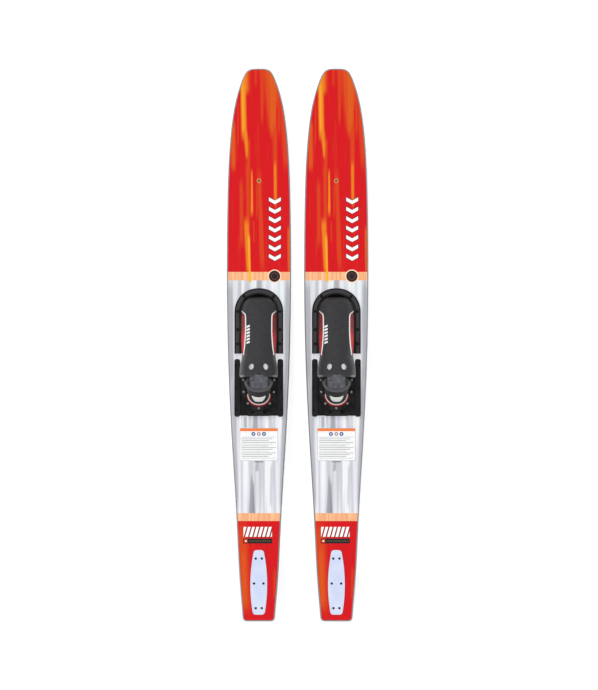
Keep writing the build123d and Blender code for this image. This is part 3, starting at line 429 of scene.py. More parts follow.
# %% edges that wear
def worn_edges(finish, reach):
    """1 on sharp edges and 0 on flat ground: a rounded normal leaves the true one there."""
    rounded = finish.add("ShaderNodeBevel", [("Radius", reach * MM)], samples=4)
    true = finish.add("ShaderNodeNewGeometry", out=1)
    match = finish.add("ShaderNodeVectorMath", [(0, rounded), (1, true)], out=1, operation="DOT_PRODUCT")
    return finish.fade(match, 0.995, 0.86)


def moulded(name, colour, worn, roughness, grain=0.9, relief=0.12, coat=0.0, edge_reach=0.7):
    """Moulded plastic: pebbled grain, slight mottling, and edges rubbed to another tone."""
    finish = Finish(name, roughness=roughness, coat=coat, coat_roughness=0.12, specular=0.3)
    place = finish.ski_place()
    pebbles = finish.noise(finish.stretched(place, grain, grain, grain), detail=2.0)
    patches = finish.noise(finish.stretched(place, 28.0, 34.0, 28.0), detail=4.0)
    mottled = finish.blend(finish.fade(patches, 0.35, 0.7, 0.0, 0.5), colour, worn)
    uneven = finish.fade(patches, 0.3, 0.6, 0.35, 0.9)
    rubbed = finish.calc("MULTIPLY", worn_edges(finish, edge_reach), uneven)
    finish.colour(finish.blend(rubbed, mottled, worn))
    finish.roughness(finish.fade(pebbles, 0.3, 0.7, roughness - 0.08, roughness + 0.1))
    finish.bump(pebbles, 0.6, relief)
    return finish


def drawn_metal(name, colour, shade, roughness, metallic=1.0, run=40.0):
    """Metal with hair lines along the ski and faint stains."""
    finish = Finish(name, roughness=roughness, metallic=metallic)
    place = finish.ski_place()
    hairs = finish.noise(finish.stretched(place, 0.35, run, 0.35), detail=3.0)
    stains = finish.noise(finish.stretched(place, 14.0, 18.0, 14.0), detail=4.0)
    base = finish.blend(finish.fade(hairs, 0.4, 0.65), colour, shade)
    finish.colour(finish.blend(finish.fade(stains, 0.5, 0.75, 0.0, 0.5), base, shade))
    finish.roughness(finish.fade(hairs, 0.3, 0.7, roughness - 0.07, roughness + 0.12))
    finish.bump(hairs, 0.35, 0.03)
    return finish.material


def frame_finish():
    """The toe frame's plastic: black, with painted light that makes the flat channel between its rims greyer."""
    finish = moulded("frame_charcoal", ink(16, 16, 17), ink(46, 46, 48), 0.46, relief=0.1)
    black = finish.colour_now()
    # Painted light: the upward-facing channel between the rims is drawn grey, as if lit from above.
    lit_channel = finish.inside(finish.ski_place()[2], 32.0, 33.3, 0.15)
    finish.colour(finish.blend(finish.calc("MULTIPLY", lit_channel, 0.85), black, ink(60, 60, 62)))
    return finish.material


PALE, PALER = ink(198, 208, 234), ink(214, 222, 240)
PLASTIC_BLACK = moulded("moulded_black", ink(14, 14, 15), ink(44, 44, 46), 0.5).material
FRAME_BLACK = frame_finish()
LEVER_BLACK = moulded("lever_black", ink(18, 18, 19), ink(52, 52, 54), 0.42).material
FIN_BLACK = moulded("fin_black", ink(26, 26, 29), ink(54, 54, 58), 0.4, grain=1.3).material
FIN_PLATE_PALE = moulded("fin_plate_pale", PALE, PALER, 0.34, grain=1.6, relief=0.05, coat=0.3).material
RAIL_BLACK = drawn_metal("rail_anodised", ink(20, 20, 22), ink(44, 44, 47), 0.36, metallic=0.4)
EDGE_SILVER = drawn_metal("edge_silver", ink(176, 178, 184), ink(142, 145, 152), 0.34, metallic=0.6)
PLATE_METAL = drawn_metal("plate_aluminium", ink(196, 198, 202), ink(160, 163, 168), 0.34)
BRASS = drawn_metal("brass_insert", ink(204, 160, 88), ink(150, 108, 52), 0.3, run=0.6)
BRIGHT_STEEL = drawn_metal("bright_steel", ink(214, 214, 216), ink(170, 172, 175), 0.24, run=0.8)
BLACK_STEEL = drawn_metal(
    "black_oxide_steel", ink(50, 50, 53), ink(26, 26, 28), 0.38, metallic=0.85, run=0.8
)
print("plastics and metals", len(bpy.data.materials))


# %% the base under the ski
def base_finish():
    """Pale gloss laminate with fine scratches along the run of the water."""
    finish = Finish("base_gloss", roughness=0.22, coat=0.4, coat_roughness=0.08)
    place = finish.ski_place()
    scratches = finish.noise(finish.stretched(place, 0.7, 90.0, 30.0), detail=4.0)
    clouds = finish.noise(finish.stretched(place, 45.0, 120.0, 40.0), detail=2.0)
    pale = finish.blend(finish.fade(clouds, 0.4, 0.7), ink(236, 236, 234), ink(226, 226, 229))
    finish.colour(finish.blend(finish.fade(scratches, 0.6, 0.72, 0.0, 0.5), pale, ink(190, 190, 192)))
    finish.roughness(finish.fade(scratches, 0.35, 0.7, 0.16, 0.36))
    finish.bump(scratches, 0.3, 0.02)
    return finish.material


BASE = base_finish()

# %% [markdown]
# ## Rubber
#
# The vamp and the heel cup are cast rubber. A real mould leaves a fine satin with faint lines where it
# was polished across the foot, so the grain here is stretched across the ski. The red panels are the same
# rubber in another colour, with black stripes that thin out towards the rear, so they share the recipe.


# %% rubber recipes
def rubber(name, colour, dusty, roughness=0.55, lines=0.16):
    """Cast rubber: satin, lined across the ski, paler where dust and wear sit."""
    finish = Finish(name, roughness=roughness, sheen=0.05, specular=0.35)
    place = finish.ski_place()
    across_lines = finish.noise(finish.stretched(place, 26.0, 0.8, 0.8), detail=3.0)
    pores = finish.noise(finish.stretched(place, 0.5, 0.5, 0.5), detail=1.0)
    dust = finish.noise(finish.stretched(place, 22.0, 16.0, 18.0), detail=5.0, rough=0.6)
    toned = finish.blend(finish.fade(across_lines, 0.38, 0.66, 0.0, 0.45), colour, dusty)
    finish.colour(finish.blend(finish.fade(dust, 0.52, 0.72, 0.0, 0.4), toned, dusty))
    finish.roughness(finish.fade(dust, 0.3, 0.7, roughness - 0.06, roughness + 0.14))
    height = finish.calc("MULTIPLY_ADD", across_lines, 0.7, finish.calc("MULTIPLY", pores, 0.3))
    finish.bump(height, 0.55, lines)
    return finish


def vamp_finish():
    """The hood's rubber, with painted shade: near black and far less specular on the steep wall at its toe, and on
    the flange in front of it, where the frame shades it.
    """
    finish = rubber("vamp_rubber", ink(44, 44, 46), ink(68, 68, 71))
    across, along, up = finish.ski_place()
    satin = finish.colour_now()
    # Painted shade: the toe wall and the flange before it are drawn near black, as if in the frame's shadow.
    toe_wall_shade = finish.fade(finish.calc("MULTIPLY_ADD", up, -0.25, along), 989.0, 998.0)
    finish.colour(finish.blend(toe_wall_shade, satin, ink(8, 8, 9)))
    shine = finish.fade(toe_wall_shade, 0.0, 1.0, 0.35, 0.02)
    finish.tree.links.new(shine, finish.shader.inputs["Specular IOR Level"])
    return finish.material


def lip_finish():
    """The rolled lip: dark across the arch, with a painted highlight that makes it pale grey where it runs down
    the sides of the lobes.
    """
    finish = rubber("lip_rubber", ink(50, 50, 52), ink(78, 78, 81), 0.5)
    off = finish.calc("ABSOLUTE", finish.ski_place()[0])
    dark = finish.colour_now()
    # Painted highlight: pale grey on the sides of the lobes, where the lip catches the light.
    finish.colour(finish.blend(finish.fade(off, 38.0, 54.0), dark, ink(128, 128, 131)))
    return finish.material


def panel_rubber():
    """The red side panels: black slashes at the front that thin out to plain red."""
    finish = rubber("panel_red_rubber", ink(206, 6, 18), ink(212, 34, 40), 0.45)
    across, along, up = finish.ski_place()
    off = finish.calc("ABSOLUTE", across)
    lean = finish.calc("MULTIPLY_ADD", off, 0.9, along)
    step = finish.calc("FRACT", finish.calc("DIVIDE", lean, 9.5))
    thick = finish.fade(along, 884.0, 925.0, 0.2, 0.6)
    dark = finish.fade(finish.calc("SUBTRACT", step, thick), 0.06, -0.06)
    dark = finish.calc("MULTIPLY", dark, finish.fade(along, 886.0, 906.0))
    red = finish.colour_now()
    finish.colour(finish.blend(dark, red, ink(26, 24, 26)))
    return finish.material


VAMP_RUBBER = vamp_finish()
CUP_RUBBER = rubber("cup_rubber", ink(26, 26, 28), ink(50, 50, 53)).material
LIP_RUBBER = lip_finish()
COLLAR_RUBBER = rubber("collar_rubber", ink(72, 72, 74), ink(104, 104, 107), 0.5).material
WHITE_RUBBER = rubber("white_rubber", ink(238, 238, 236), ink(214, 214, 212), 0.42, lines=0.06).material
RED_RUBBER = rubber("red_rubber", ink(208, 34, 40), ink(186, 26, 34), 0.42, lines=0.08).material
GRIP_RUBBER = rubber("grip_urethane", ink(38, 38, 40), ink(64, 64, 66), 0.6).material
PANEL_RUBBER = panel_rubber()


# %% foam under the foot
def foam():
    """Closed-cell foam: grey, dimpled, with raised ribs across the foot."""
    finish = Finish("footbed_foam", roughness=0.8, sheen=0.2)
    place = finish.ski_place()
    dimples = finish.stretched(place, 2.6, 2.6, 2.6)
    cells = finish.add("ShaderNodeTexVoronoi", [("Vector", dimples), ("Scale", 1.0)])
    tone = finish.noise(finish.stretched(place, 12.0, 12.0, 12.0), detail=4.0)
    grey = finish.blend(finish.fade(tone, 0.35, 0.7), ink(104, 106, 112), ink(140, 142, 148))
    finish.colour(finish.blend(finish.fade(cells, 0.25, 0.6, 0.0, 0.6), grey, ink(80, 82, 87)))
    finish.bump(cells, 0.7, 0.5)
    return finish.material


FOAM = foam()
print("materials so far", len(bpy.data.materials))

# %% [markdown]
# ## Dressing the parts that are already right
#
# The frame hands over finished solids for the hard parts. Their meshes stay as they are; only the finish
# in their material slot changes. The record's own slot names pair each part with a finish.

# %% finishes for the hard parts
FINISH_OF_SLOT = {
    "ski_core": EDGE_SILVER,
    "printed_sheet": DECK,
    "base_laminate": BASE,
    "brass": BRASS,
    "fin_plastic": FIN_BLACK,
    "fin_plate": FIN_PLATE_PALE,
    "stainless": BRIGHT_STEEL,
    "black_screw": BLACK_STEEL,
    "plate_aluminium": PLATE_METAL,
    "overlay_rubber": VAMP_RUBBER,
    "black_plastic": PLASTIC_BLACK,
    "rail_aluminium": RAIL_BLACK,
    "footbed_foam": FOAM,
    "grip_rubber": GRIP_RUBBER,
}
SLOT_OF_NODE = {part["node"]: part["material_slot"] for part in frame["record"]["subparts"]}
for name, part in frame["nodes"].items():
    finish = FINISH_OF_SLOT[SLOT_OF_NODE[name]]
    if name.endswith("lock_lever"):
        finish = LEVER_BLACK
    elif name.endswith(("lock_pin", "lock_spring")):
        finish = BLACK_STEEL
    if not part.data.materials:
        part.data.materials.append(finish)
    for slot in part.material_slots:
        slot.material = finish
print("dressed", len(frame["nodes"]), "parts")

# %% [markdown]
# ## Building meshes on a ski
#
# The soft pieces are made from rows of points, given in the ski's own millimetres and joined into a skin.
# The same few helpers make all of them: a skin through rows, a tube round a path, and a mesh object that
# is moved to its ski, rides on a body and hides the solid it stands for.


# %% rows, tubes and pieces
def skin(rows, wrap_rows=False, wrap_columns=False):
    """Points and faces of a grid through rows of equal length."""
    wide = len(rows[0])
    points = [Vector(point) for row in rows for point in row]
    faces = []
    for row in range(len(rows) - (0 if wrap_rows else 1)):
        below = (row + 1) % len(rows)
        for column in range(wide - (0 if wrap_columns else 1)):
            beside = (column + 1) % wide
            near, far = row * wide, below * wide
            faces.append((near + column, near + beside, far + beside, far + column))
    return points, faces


def tube(path, radii, sides=14, closed=False, flat=1.0, upright=Vector((0, 0, 1))):
    """A round or flattened tube along a path, with rounded ends when it is open."""
    path = [Vector(point) for point in path]
    count = len(path)
    if not hasattr(radii, "__len__"):
        radii = [radii] * count
    rows = []
    for index, point in enumerate(path):
        before = path[index - 1] if closed or index else path[0]
        after = path[(index + 1) % count] if closed or index < count - 1 else path[-1]
        along = (after - before).normalized()
        out = along.cross(upright)
        out = out.normalized() if out.length > 1e-6 else Vector((1, 0, 0))
        high = out.cross(along)
        ring = [2 * pi * step / sides for step in range(sides)]
        rows.append([point + radii[index] * (cos(turn) * out + flat * sin(turn) * high) for turn in ring])
    points, faces = skin(rows, wrap_rows=closed, wrap_columns=True)
    if not closed:
        for end, inner in ((0, 1), (count - 1, count - 2)):
            beyond = (path[end] - path[inner]).normalized()
            tip = len(points)
            points.append(path[end] + 0.45 * radii[end] * beyond)
            for column in range(sides):
                faces.append((end * sides + column, end * sides + (column + 1) % sides, tip))
    return points, faces


def joined(*shapes):
    """Several points-and-faces shapes as one."""
    points, faces = [], []
    for some_points, some_faces in shapes:
        start = len(points)
        points += some_points
        faces += [tuple(start + corner for corner in face) for face in some_faces]
    return points, faces


def piece(name, side, shape, body, finish, instead_of=(), sharp=35):
    """A mesh object from a shape in one ski's millimetres, riding on a body of that ski."""
    points, faces = shape
    mesh = bpy.data.meshes.new(f"{side}_{name}")
    mesh.from_pydata([TO_FLOOR[side] @ Vector(point) for point in points], [], faces)
    shaper = bmesh.new()
    shaper.from_mesh(mesh)
    bmesh.ops.remove_doubles(shaper, verts=shaper.verts, dist=1e-6)
    bmesh.ops.recalc_face_normals(shaper, faces=shaper.faces)
    shaper.to_mesh(mesh)
    shaper.free()
    made = bpy.data.objects.new(f"{side}_{name}", mesh)
    bpy.context.scene.collection.objects.link(made)
    mesh.materials.append(finish)
    mesh.shade_smooth()
    mesh.set_sharp_from_angle(angle=radians(sharp))
    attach(made, f"{side}_{body}")
    for node in instead_of:
        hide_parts(f"{side}_{node}")
    return made


def apply_modifiers(made):
    """Turns an object's modifiers into its mesh."""
    made_now = made.evaluated_get(bpy.context.evaluated_depsgraph_get())
    mesh = bpy.data.meshes.new_from_object(made_now)
    old = made.data
    made.modifiers.clear()
    made.data = mesh
    bpy.data.meshes.remove(old)


print("mesh helpers ready")

# %% [markdown]
# ## The bright bevelled edge
#
# The printed sheet stops a few millimetres short of the side, and the edge of the ski is bevelled down
# from it. That bevel is a long ring all round the ski. Cutting it as a chamfer works on simple outlines,
# but this one changes height along its whole length, so the ring is swept: the sheet's own rim gives its
# inner line and its heights, and each point of it is pushed outwards to give the rest. The base has a
# smaller ring of the same kind.

# %% the rim of a layer
RIM_POINTS = 720
FACING_UP, FACING_OUT = 0.6, 0.3  # a face's upward share above the first is a top; under the second, a side
ANY_DEPTH = -99


def layer_rim(side, node):
    """The upper edge of a layer's outline as an even loop in ski millimetres, anticlockwise from above."""
    shaper = bmesh.new()
    shaper.from_mesh(frame["nodes"][f"{side}_{node}"].data)
    bmesh.ops.transform(shaper, matrix=TO_FLOOR[side].inverted(), verts=shaper.verts)
    bmesh.ops.remove_doubles(shaper, verts=shaper.verts, dist=0.01)
    shaper.normal_update()
    beside = {}
    for line in shaper.edges:
        facing = sorted(face.normal.z for face in line.link_faces)
        if len(facing) == 2 and facing[1] > FACING_UP and abs(facing[0]) < FACING_OUT:
            first, last = line.verts
            beside.setdefault(first, []).append(last)
            beside.setdefault(last, []).append(first)
    loops, seen = [], set()
    for start in beside:
        if start in seen:
            continue
        loop, waiting = [], [start]
        while waiting:
            corner = waiting.pop()
            if corner not in seen:
                seen.add(corner)
                loop.append(corner.co.copy())
                waiting += beside[corner]
        loops.append(loop)
    rim = max(loops, key=length_along)
    shaper.free()
    middle = sum(point.y for point in rim) / len(rim)
    rim.sort(key=lambda point: atan2(point.y - middle, point.x))
    return evenly(rim, RIM_POINTS)


def length_along(loop):
    """How much of the ski's length a loop covers."""
    places = [point.y for point in loop]
    return max(places) - min(places)


def evenly(loop, count):
    """A closed loop as count points at equal steps along it."""
    closed = loop + [loop[0]]
    reach = [0.0]
    for start, end in zip(closed, closed[1:]):
        reach.append(reach[-1] + (end - start).length)
    made, at = [], 0
    for index in range(count):
        target = reach[-1] * index / count
        while reach[at + 1] < target:
            at += 1
        share = (target - reach[at]) / max(reach[at + 1] - reach[at], 1e-9)
        made.append(closed[at].lerp(closed[at + 1], share))
    return made


def swept_rim(rim, profile, lowest=None):
    """A ring round a rim; the profile gives steps outwards and upwards from it."""
    rows = []
    for index, point in enumerate(rim):
        along = rim[(index + 1) % len(rim)] - rim[index - 1]
        out = Vector((along.y, -along.x, 0)).normalized()
        floor_here = lowest(point) if lowest else ANY_DEPTH
        rows.append([point + out * step + Vector((0, 0, max(rise, floor_here))) for step, rise in profile])
    return skin(rows, wrap_rows=True, wrap_columns=True)


# %% the two rings
TOP_BEVEL = [
    (0.03, -0.05), (0.5, -0.14), (1.3, -0.62), (2.4, -1.6),
    (3.25, -2.6), (3.6, -3.1), (3.6, -3.4), (0.03, -3.4),
]
BASE_BEVEL = [(0.03, 0.0), (2.5, 0.0), (2.5, -0.6), (2.2, -1.7), (1.2, -3.2), (0.6, -3.75), (0.03, -3.95)]
TUNNEL_HALF_WIDTH, TUNNEL_MOUTH, TUNNEL_REACH = 43.0, 20, -0.9


def over_tunnel(point):
    """The ring keeps clear of the tunnel where that runs out at the tail."""
    return TUNNEL_REACH if abs(point.x) < TUNNEL_HALF_WIDTH and point.y < TUNNEL_MOUTH else ANY_DEPTH


for side in SIDES:
    top_ring = swept_rim(layer_rim(side, "top_sheet"), TOP_BEVEL)
    base_ring = swept_rim(layer_rim(side, "base_sheet"), BASE_BEVEL, over_tunnel)
    piece("edge_bevel", side, top_ring, "ski", EDGE_SILVER, sharp=50)
    piece("base_edge", side, base_ring, "ski", EDGE_SILVER, sharp=50)
print("rings", len(top_ring[0]), len(base_ring[0]))

# %% [markdown]
# ## Smooth lines through a few stations
#
# A rubber vamp is judged by its flow, so its shape comes from a few stations along the ski, each with a
# width and two heights. Straight runs between stations would show as facets, and a free spline may swing
# past them. The line used here passes through every station and never swings past, because its slope is
# flat at each turn.


# %% lines through stations
def slope_at(stations, index, column):
    """A gentle slope at one station: flat at a turn, and a mean that favours the flatter side elsewhere."""
    def steepness(first, last):
        low, high = stations[first], stations[last]
        return (high[column] - low[column]) / (high[0] - low[0])

    if index == 0:
        return steepness(0, 1)
    if index == len(stations) - 1:
        return steepness(index - 1, index)
    before = steepness(index - 1, index)
    after = steepness(index, index + 1)
    return 0.0 if before * after <= 0 else 2 * before * after / (before + after)


def glide(stations, at):
    """The other values of the stations at a value of the first."""
    at = min(max(at, stations[0][0]), stations[-1][0])
    index = max(number for number in range(len(stations) - 1) if stations[number][0] <= at)
    width = stations[index + 1][0] - stations[index][0]
    share = (at - stations[index][0]) / width
    result = []
    for column in range(1, len(stations[0])):
        low, high = stations[index][column], stations[index + 1][column]
        rise = slope_at(stations, index, column) * width
        fall = slope_at(stations, index + 1, column) * width
        bend = (2 * share**3 - 3 * share**2 + 1) * low + (share**3 - 2 * share**2 + share) * rise
        result.append(bend + (3 * share**2 - 2 * share**3) * high + (share**3 - share**2) * fall)
    return result if len(result) > 1 else result[0]


# %% [markdown]
# ## The vamp
#
# The vamp is the rubber hood that the toes push into. It rises steeply just inside the frame, swells over
# the foot, pinches in where it leaves the frame and ends in two lobes with a rolled lip, an arch between
# them and a finger hole in each. One function gives any point of its skin from two numbers: how far along
# the ski, and how far round from the crest (0) over the shoulder (1) down the leg. Panels, piping and
# marks then sit on the skin by asking the same function for points a hair further out.

# %% the vamp's skin
# along, half width, height of the shoulder and of the crest above the base
VAMP = [
    (763.0, 57.5, 82.5, 133.5),
    (782.0, 57.3, 79.0, 129.0),
    (800.0, 55.2, 75.0, 124.8),
    (815.0, 52.0, 68.0, 120.8),
    (832.0, 50.0, 55.0, 115.0),
    (850.0, 52.8, 45.0, 109.2),
    (890.0, 55.0, 33.0, 98.0),
    (940.0, 55.3, 30.0, 85.5),
    (966.0, 53.2, 29.5, 80.0),
    (985.0, 50.2, 29.0, 75.5),
    (1000.0, 44.6, 29.0, 70.0),
    (1008.0, 38.5, 29.0, 62.0),
    (1012.0, 33.0, 29.0, 50.0),
    (1014.5, 26.5, 29.0, 33.0),
]
VAMP_TOE = VAMP[-1][0]
# way round, share of the half width, share of the rise from shoulder to crest
SECTION = [
    (-0.25, -0.45, 0.95), (0.0, 0.0, 1.0), (0.25, 0.45, 0.95),
    (0.5, 0.80, 0.74), (0.75, 0.94, 0.40), (1.0, 1.0, 0.0),
]
# along, height where the leg ends
LEG_END = [(763.0, 78.5), (800.0, 72.0), (824.0, 56.0), (836.0, 38.0), (840.0, 27.0), (1015.0, 27.0)]
LEG = 0.3  # the leg's share of the way round


def vamp_point(along, way):
    """A point of the outer skin; way is 0 on the crest, 1 at a shoulder, and beyond that down the leg."""
    half_width, shoulder, crest = glide(VAMP, along)
    turn = abs(way)
    side = 1 if way >= 0 else -1
    if turn <= 1:
        out, up = glide(SECTION, turn)
        return Vector((side * half_width * out, along, shoulder + (crest - shoulder) * up))
    down = (turn - 1) / LEG
    return Vector((side * half_width, along, shoulder + (glide(LEG_END, along) - shoulder) * down))


def vamp_normal(along, way):
    """Straight out of the skin."""
    step = 0.01
    round_way = vamp_point(along, way + step) - vamp_point(along, way - step)
    ahead = vamp_point(along + 0.5, way) - vamp_point(along - 0.5, way)
    return ahead.cross(round_way).normalized() * -1


def on_vamp(along, way, lift):
    return vamp_point(along, way) + vamp_normal(along, way) * lift


def way_to(along, across):
    """How far round the skin a distance across is."""
    half_width = glide(VAMP, along)[0]
    low, high = 0.0, 1.0
    for _ in range(30):
        middle = (low + high) / 2
        if glide(SECTION, middle)[0] * half_width < abs(across):
            low = middle
        else:
            high = middle
    return low if across >= 0 else -low


print("crest height at the lip", round(vamp_point(764, 0).z, 1), "mm")
print("outward at a flank", [round(value, 2) for value in vamp_normal(900, 0.5)])

# %% the vamp's rear edge and grid
LOBE_END = 764.0
NOTCH_DEPTH = 9.5
NOTCH_HALF_WIDTH = 24.0
LOBE_CORNER = 10.0
LOBE_HALF_WIDTH = 57.5
CORNER_START = 0.72


def rear_edge(way):
    """Where the skin ends at the rear: an arch in the middle, two lobes and rounded corners."""
    across = abs(glide(SECTION, min(abs(way), 1.0))[0]) * LOBE_HALF_WIDTH
    arch = NOTCH_DEPTH * (1 - min(across / NOTCH_HALF_WIDTH, 1) ** 2) ** 1.5
    past = max(abs(way) - CORNER_START, 0) / (1 + LEG - CORNER_START)
    return LOBE_END + arch + LOBE_CORNER * (1 - sqrt(max(1 - past**2, 0)))


VAMP_ROWS, VAMP_COLUMNS = 96, 96
VAMP_WAYS = [(-1 - LEG) + 2 * (1 + LEG) * step / VAMP_COLUMNS for step in range(VAMP_COLUMNS + 1)]


def vamp_shell(lift):
    """The grid of the skin, moved out by lift."""
    rows = []
    for row in range(VAMP_ROWS + 1):
        share = row / VAMP_ROWS
        row_places = [(VAMP_TOE + (rear_edge(way) - VAMP_TOE) * share, way) for way in VAMP_WAYS]
        rows.append([on_vamp(along, way, lift) for along, way in row_places])
    return rows


def closed_shell(outer, inner):
    """A wall between two grids of the same size, closed along all its edges."""
    count = len(outer) * len(outer[0])
    wide = len(outer[0])
    points = [point for row in outer for point in row] + [point for row in inner for point in row]
    faces = []
    for row in range(len(outer) - 1):
        for column in range(wide - 1):
            here = row * wide + column
            corners = (here, here + 1, here + wide + 1, here + wide)
            faces.append(corners)
            faces.append(tuple(count + corner for corner in reversed(corners)))
    top = list(range(wide))
    right = [row * wide + wide - 1 for row in range(len(outer))]
    low = [(len(outer) - 1) * wide + column for column in reversed(range(wide))]
    left = [row * wide for row in reversed(range(len(outer)))]
    for edge in (top, right, low, left):
        for first, last in zip(edge, edge[1:]):
            faces.append((first, last, count + last, count + first))
    return points, faces


VAMP_WALL = 4.2
vamp_outer = vamp_shell(0.0)
vamp_inner = vamp_shell(-VAMP_WALL)
print("vamp grid", len(vamp_outer), "by", len(vamp_outer[0]))

# %% [markdown]
# Under the frame the rubber spreads into a flat flange that the screws clamp. It follows the frame's
# outline: a horseshoe, straight along the sides and rounded at the toe. The same outline later carries
# the frame itself, so it is one function: points along a horseshoe, with the direction that points
# inwards at each.


# %% horseshoes
ROUNDNESS = 2.12  # 2 is a circle, more is squarer


def horseshoe(half_width, open_end, closed_end, straight=10, rounded=28):
    """Points and inward directions of a U seen from above, from its right end to its left end."""
    way = 1 if closed_end > open_end else -1
    shoulder = closed_end - way * half_width
    right = [(half_width, open_end + (shoulder - open_end) * step / straight) for step in range(straight)]
    for step in range(rounded):
        turn = pi / 2 * step / rounded
        bulge = cos(turn) ** (2 / ROUNDNESS), sin(turn) ** (2 / ROUNDNESS)
        right.append((half_width * bulge[0], shoulder + way * half_width * bulge[1]))
    path = right + [(0, closed_end)] + [(-x, y) for x, y in reversed(right)]
    path = [Vector((x, y, 0)) for x, y in path]
    inward = []
    for index, point in enumerate(path):
        along = path[min(index + 1, len(path) - 1)] - path[max(index - 1, 0)]
        inward.append(Vector((-way * along.y, way * along.x, 0)).normalized())
    inward[0] = Vector((-1, 0, 0))
    inward[-1] = Vector((1, 0, 0))
    return list(zip(path, inward))


def swept_horseshoe(path, profile):
    """A bar along a horseshoe; the profile gives steps inwards and heights. Its two ends are closed."""
    rows = []
    for point, inward in path:
        rows.append([point + inward * step + Vector((0, 0, height)) for step, height in profile])
    points, faces = skin(rows, wrap_columns=True)
    last = (len(rows) - 1) * len(profile)
    faces.append(tuple(reversed(range(len(profile)))))
    faces.append(tuple(last + column for column in range(len(profile))))
    return points, faces


FRAME_HALF_WIDTH, FRAME_REAR, FRAME_FRONT = 76.5, 837.4, 1043.0
FLANGE = [(0.0, 24.0), (0.0, 27.6), (0.4, 28.0), (29.5, 28.0), (29.5, 24.0)]
flange_path = horseshoe(FRAME_HALF_WIDTH - 2, FRAME_REAR + 2, FRAME_FRONT - 2)


# %% cutting holes
def drill(made, tools):
    """Cuts a closed tool shape, in row metres, out of a piece."""
    points, faces = tools
    mesh = bpy.data.meshes.new("drill")
    mesh.from_pydata(points, [], faces)
    shaper = bmesh.new()
    shaper.from_mesh(mesh)
    bmesh.ops.recalc_face_normals(shaper, faces=shaper.faces)
    shaper.to_mesh(mesh)
    shaper.free()
    bit = bpy.data.objects.new("drill", mesh)
    bpy.context.scene.collection.objects.link(bit)
    cut = made.modifiers.new("cut", "BOOLEAN")
    cut.object = bit
    cut.solver = "EXACT"
    bpy.context.view_layer.update()
    apply_modifiers(made)
    bpy.data.objects.remove(bit)
    bpy.data.meshes.remove(mesh)
    made.data.shade_smooth()
    made.data.set_sharp_from_angle(angle=radians(35))


def upright_bits(side, spots, reach_across, reach_along, low, high, lean=0.0, sides=40):
    """Oval prisms that stand on a ski, leaned in plan by lean radians and mirrored across it."""
    shapes = []
    for x, y in spots:
        tilt = lean * (1 if x > 0 else -1)
        ring = []
        for step in range(sides):
            turn = 2 * pi * step / sides
            a, b = reach_across * cos(turn), reach_along * sin(turn)
            ring.append((x + a * cos(tilt) - b * sin(tilt), y + a * sin(tilt) + b * cos(tilt)))
        points = [Vector((a, b, height)) for height in (low, high) for a, b in ring]
        faces = [tuple(reversed(range(sides))), tuple(range(sides, 2 * sides))]
        for step in range(sides):
            beside = (step + 1) % sides
            faces.append((step, beside, sides + beside, sides + step))
        shapes.append(([TO_FLOOR[side] @ point for point in points], faces))
    return joined(*shapes)


# %% the vamp itself
FINGER_HOLES = [(-22.3, 792.0), (22.3, 792.0)]
HOLE_ACROSS, HOLE_ALONG, HOLE_LEAN = 8.3, 10.6, 0.3
BEAD_GAP, BEAD_RADIUS = 1.1, 1.7

for side in SIDES:
    shell = closed_shell(vamp_outer, vamp_inner)
    vamp = piece("vamp", side, shell, "ski", VAMP_RUBBER, ["toe_overlay"])
    drill(vamp, upright_bits(side, FINGER_HOLES, HOLE_ACROSS, HOLE_ALONG, 60.0, 160.0, HOLE_LEAN))
    flange = swept_horseshoe(flange_path, FLANGE)
    piece("vamp_flange", side, flange, "ski", VAMP_RUBBER)
print("vamp faces", len(vamp.data.polygons))

# %% [markdown]
# The lip is a soft bead along the whole rear edge, painted paler than the hood as a highlight, palest
# where it runs down the sides of the lobes. Each finger hole has a smaller one. Both are tubes that
# follow the skin's own edge, half sunk into the wall.

# %% lip and hole beads
def sunk(along, way):
    """A point halfway through the wall."""
    return on_vamp(along, way, -VAMP_WALL / 2)


LIP_RUN = (846.0, 841.0, 836.0, 830.0, 824.0, 816.0, 808.0, 799.0, 790.0)
LIP_THIN, LIP_THICKER = 2.4, 1.9
rear_points = [sunk(rear_edge(way), way) for way in VAMP_WAYS]
side_points = [sunk(along, -1 - LEG) for along in LIP_RUN]
side_points = [point for point in side_points if point.y > rear_points[0].y + 2]
mirrored = [Vector((-point.x, point.y, point.z)) for point in reversed(side_points)]
lip_path = side_points + rear_points + mirrored
lip_radii = [LIP_THIN + LIP_THICKER * min(max((abs(point.x) - 36) / 16, 0), 1) for point in lip_path]


def ring_on_vamp(centre, across, along, lean, lift, count=48):
    """A closed line round an oval on the skin."""
    made = []
    tilt = lean * (1 if centre[0] > 0 else -1)
    for step in range(count):
        turn = 2 * pi * step / count
        a, b = across * cos(turn), along * sin(turn)
        x = centre[0] + a * cos(tilt) - b * sin(tilt)
        y = centre[1] + a * sin(tilt) + b * cos(tilt)
        made.append(on_vamp(y, way_to(y, x), lift))
    return made


for side in SIDES:
    piece("vamp_lip", side, tube(lip_path, lip_radii, sides=12), "ski", LIP_RUBBER)
    beads = []
    for hole in FINGER_HOLES:
        ring = ring_on_vamp(hole, HOLE_ACROSS + BEAD_GAP, HOLE_ALONG + BEAD_GAP, HOLE_LEAN, 0.1)
        beads.append(tube(ring, BEAD_RADIUS, sides=10, closed=True))
    piece("finger_hole_beads", side, joined(*beads), "ski", VAMP_RUBBER)
print("lip points", len(lip_path))

# %% [markdown]
# Red panels fill the flanks below a white piping line. They are thin skins of their own, laid a little
# proud of the vamp, so the colour change has a real edge that catches light. A short row of plain white
# bars stands on the left flank, where such bindings carry a name.


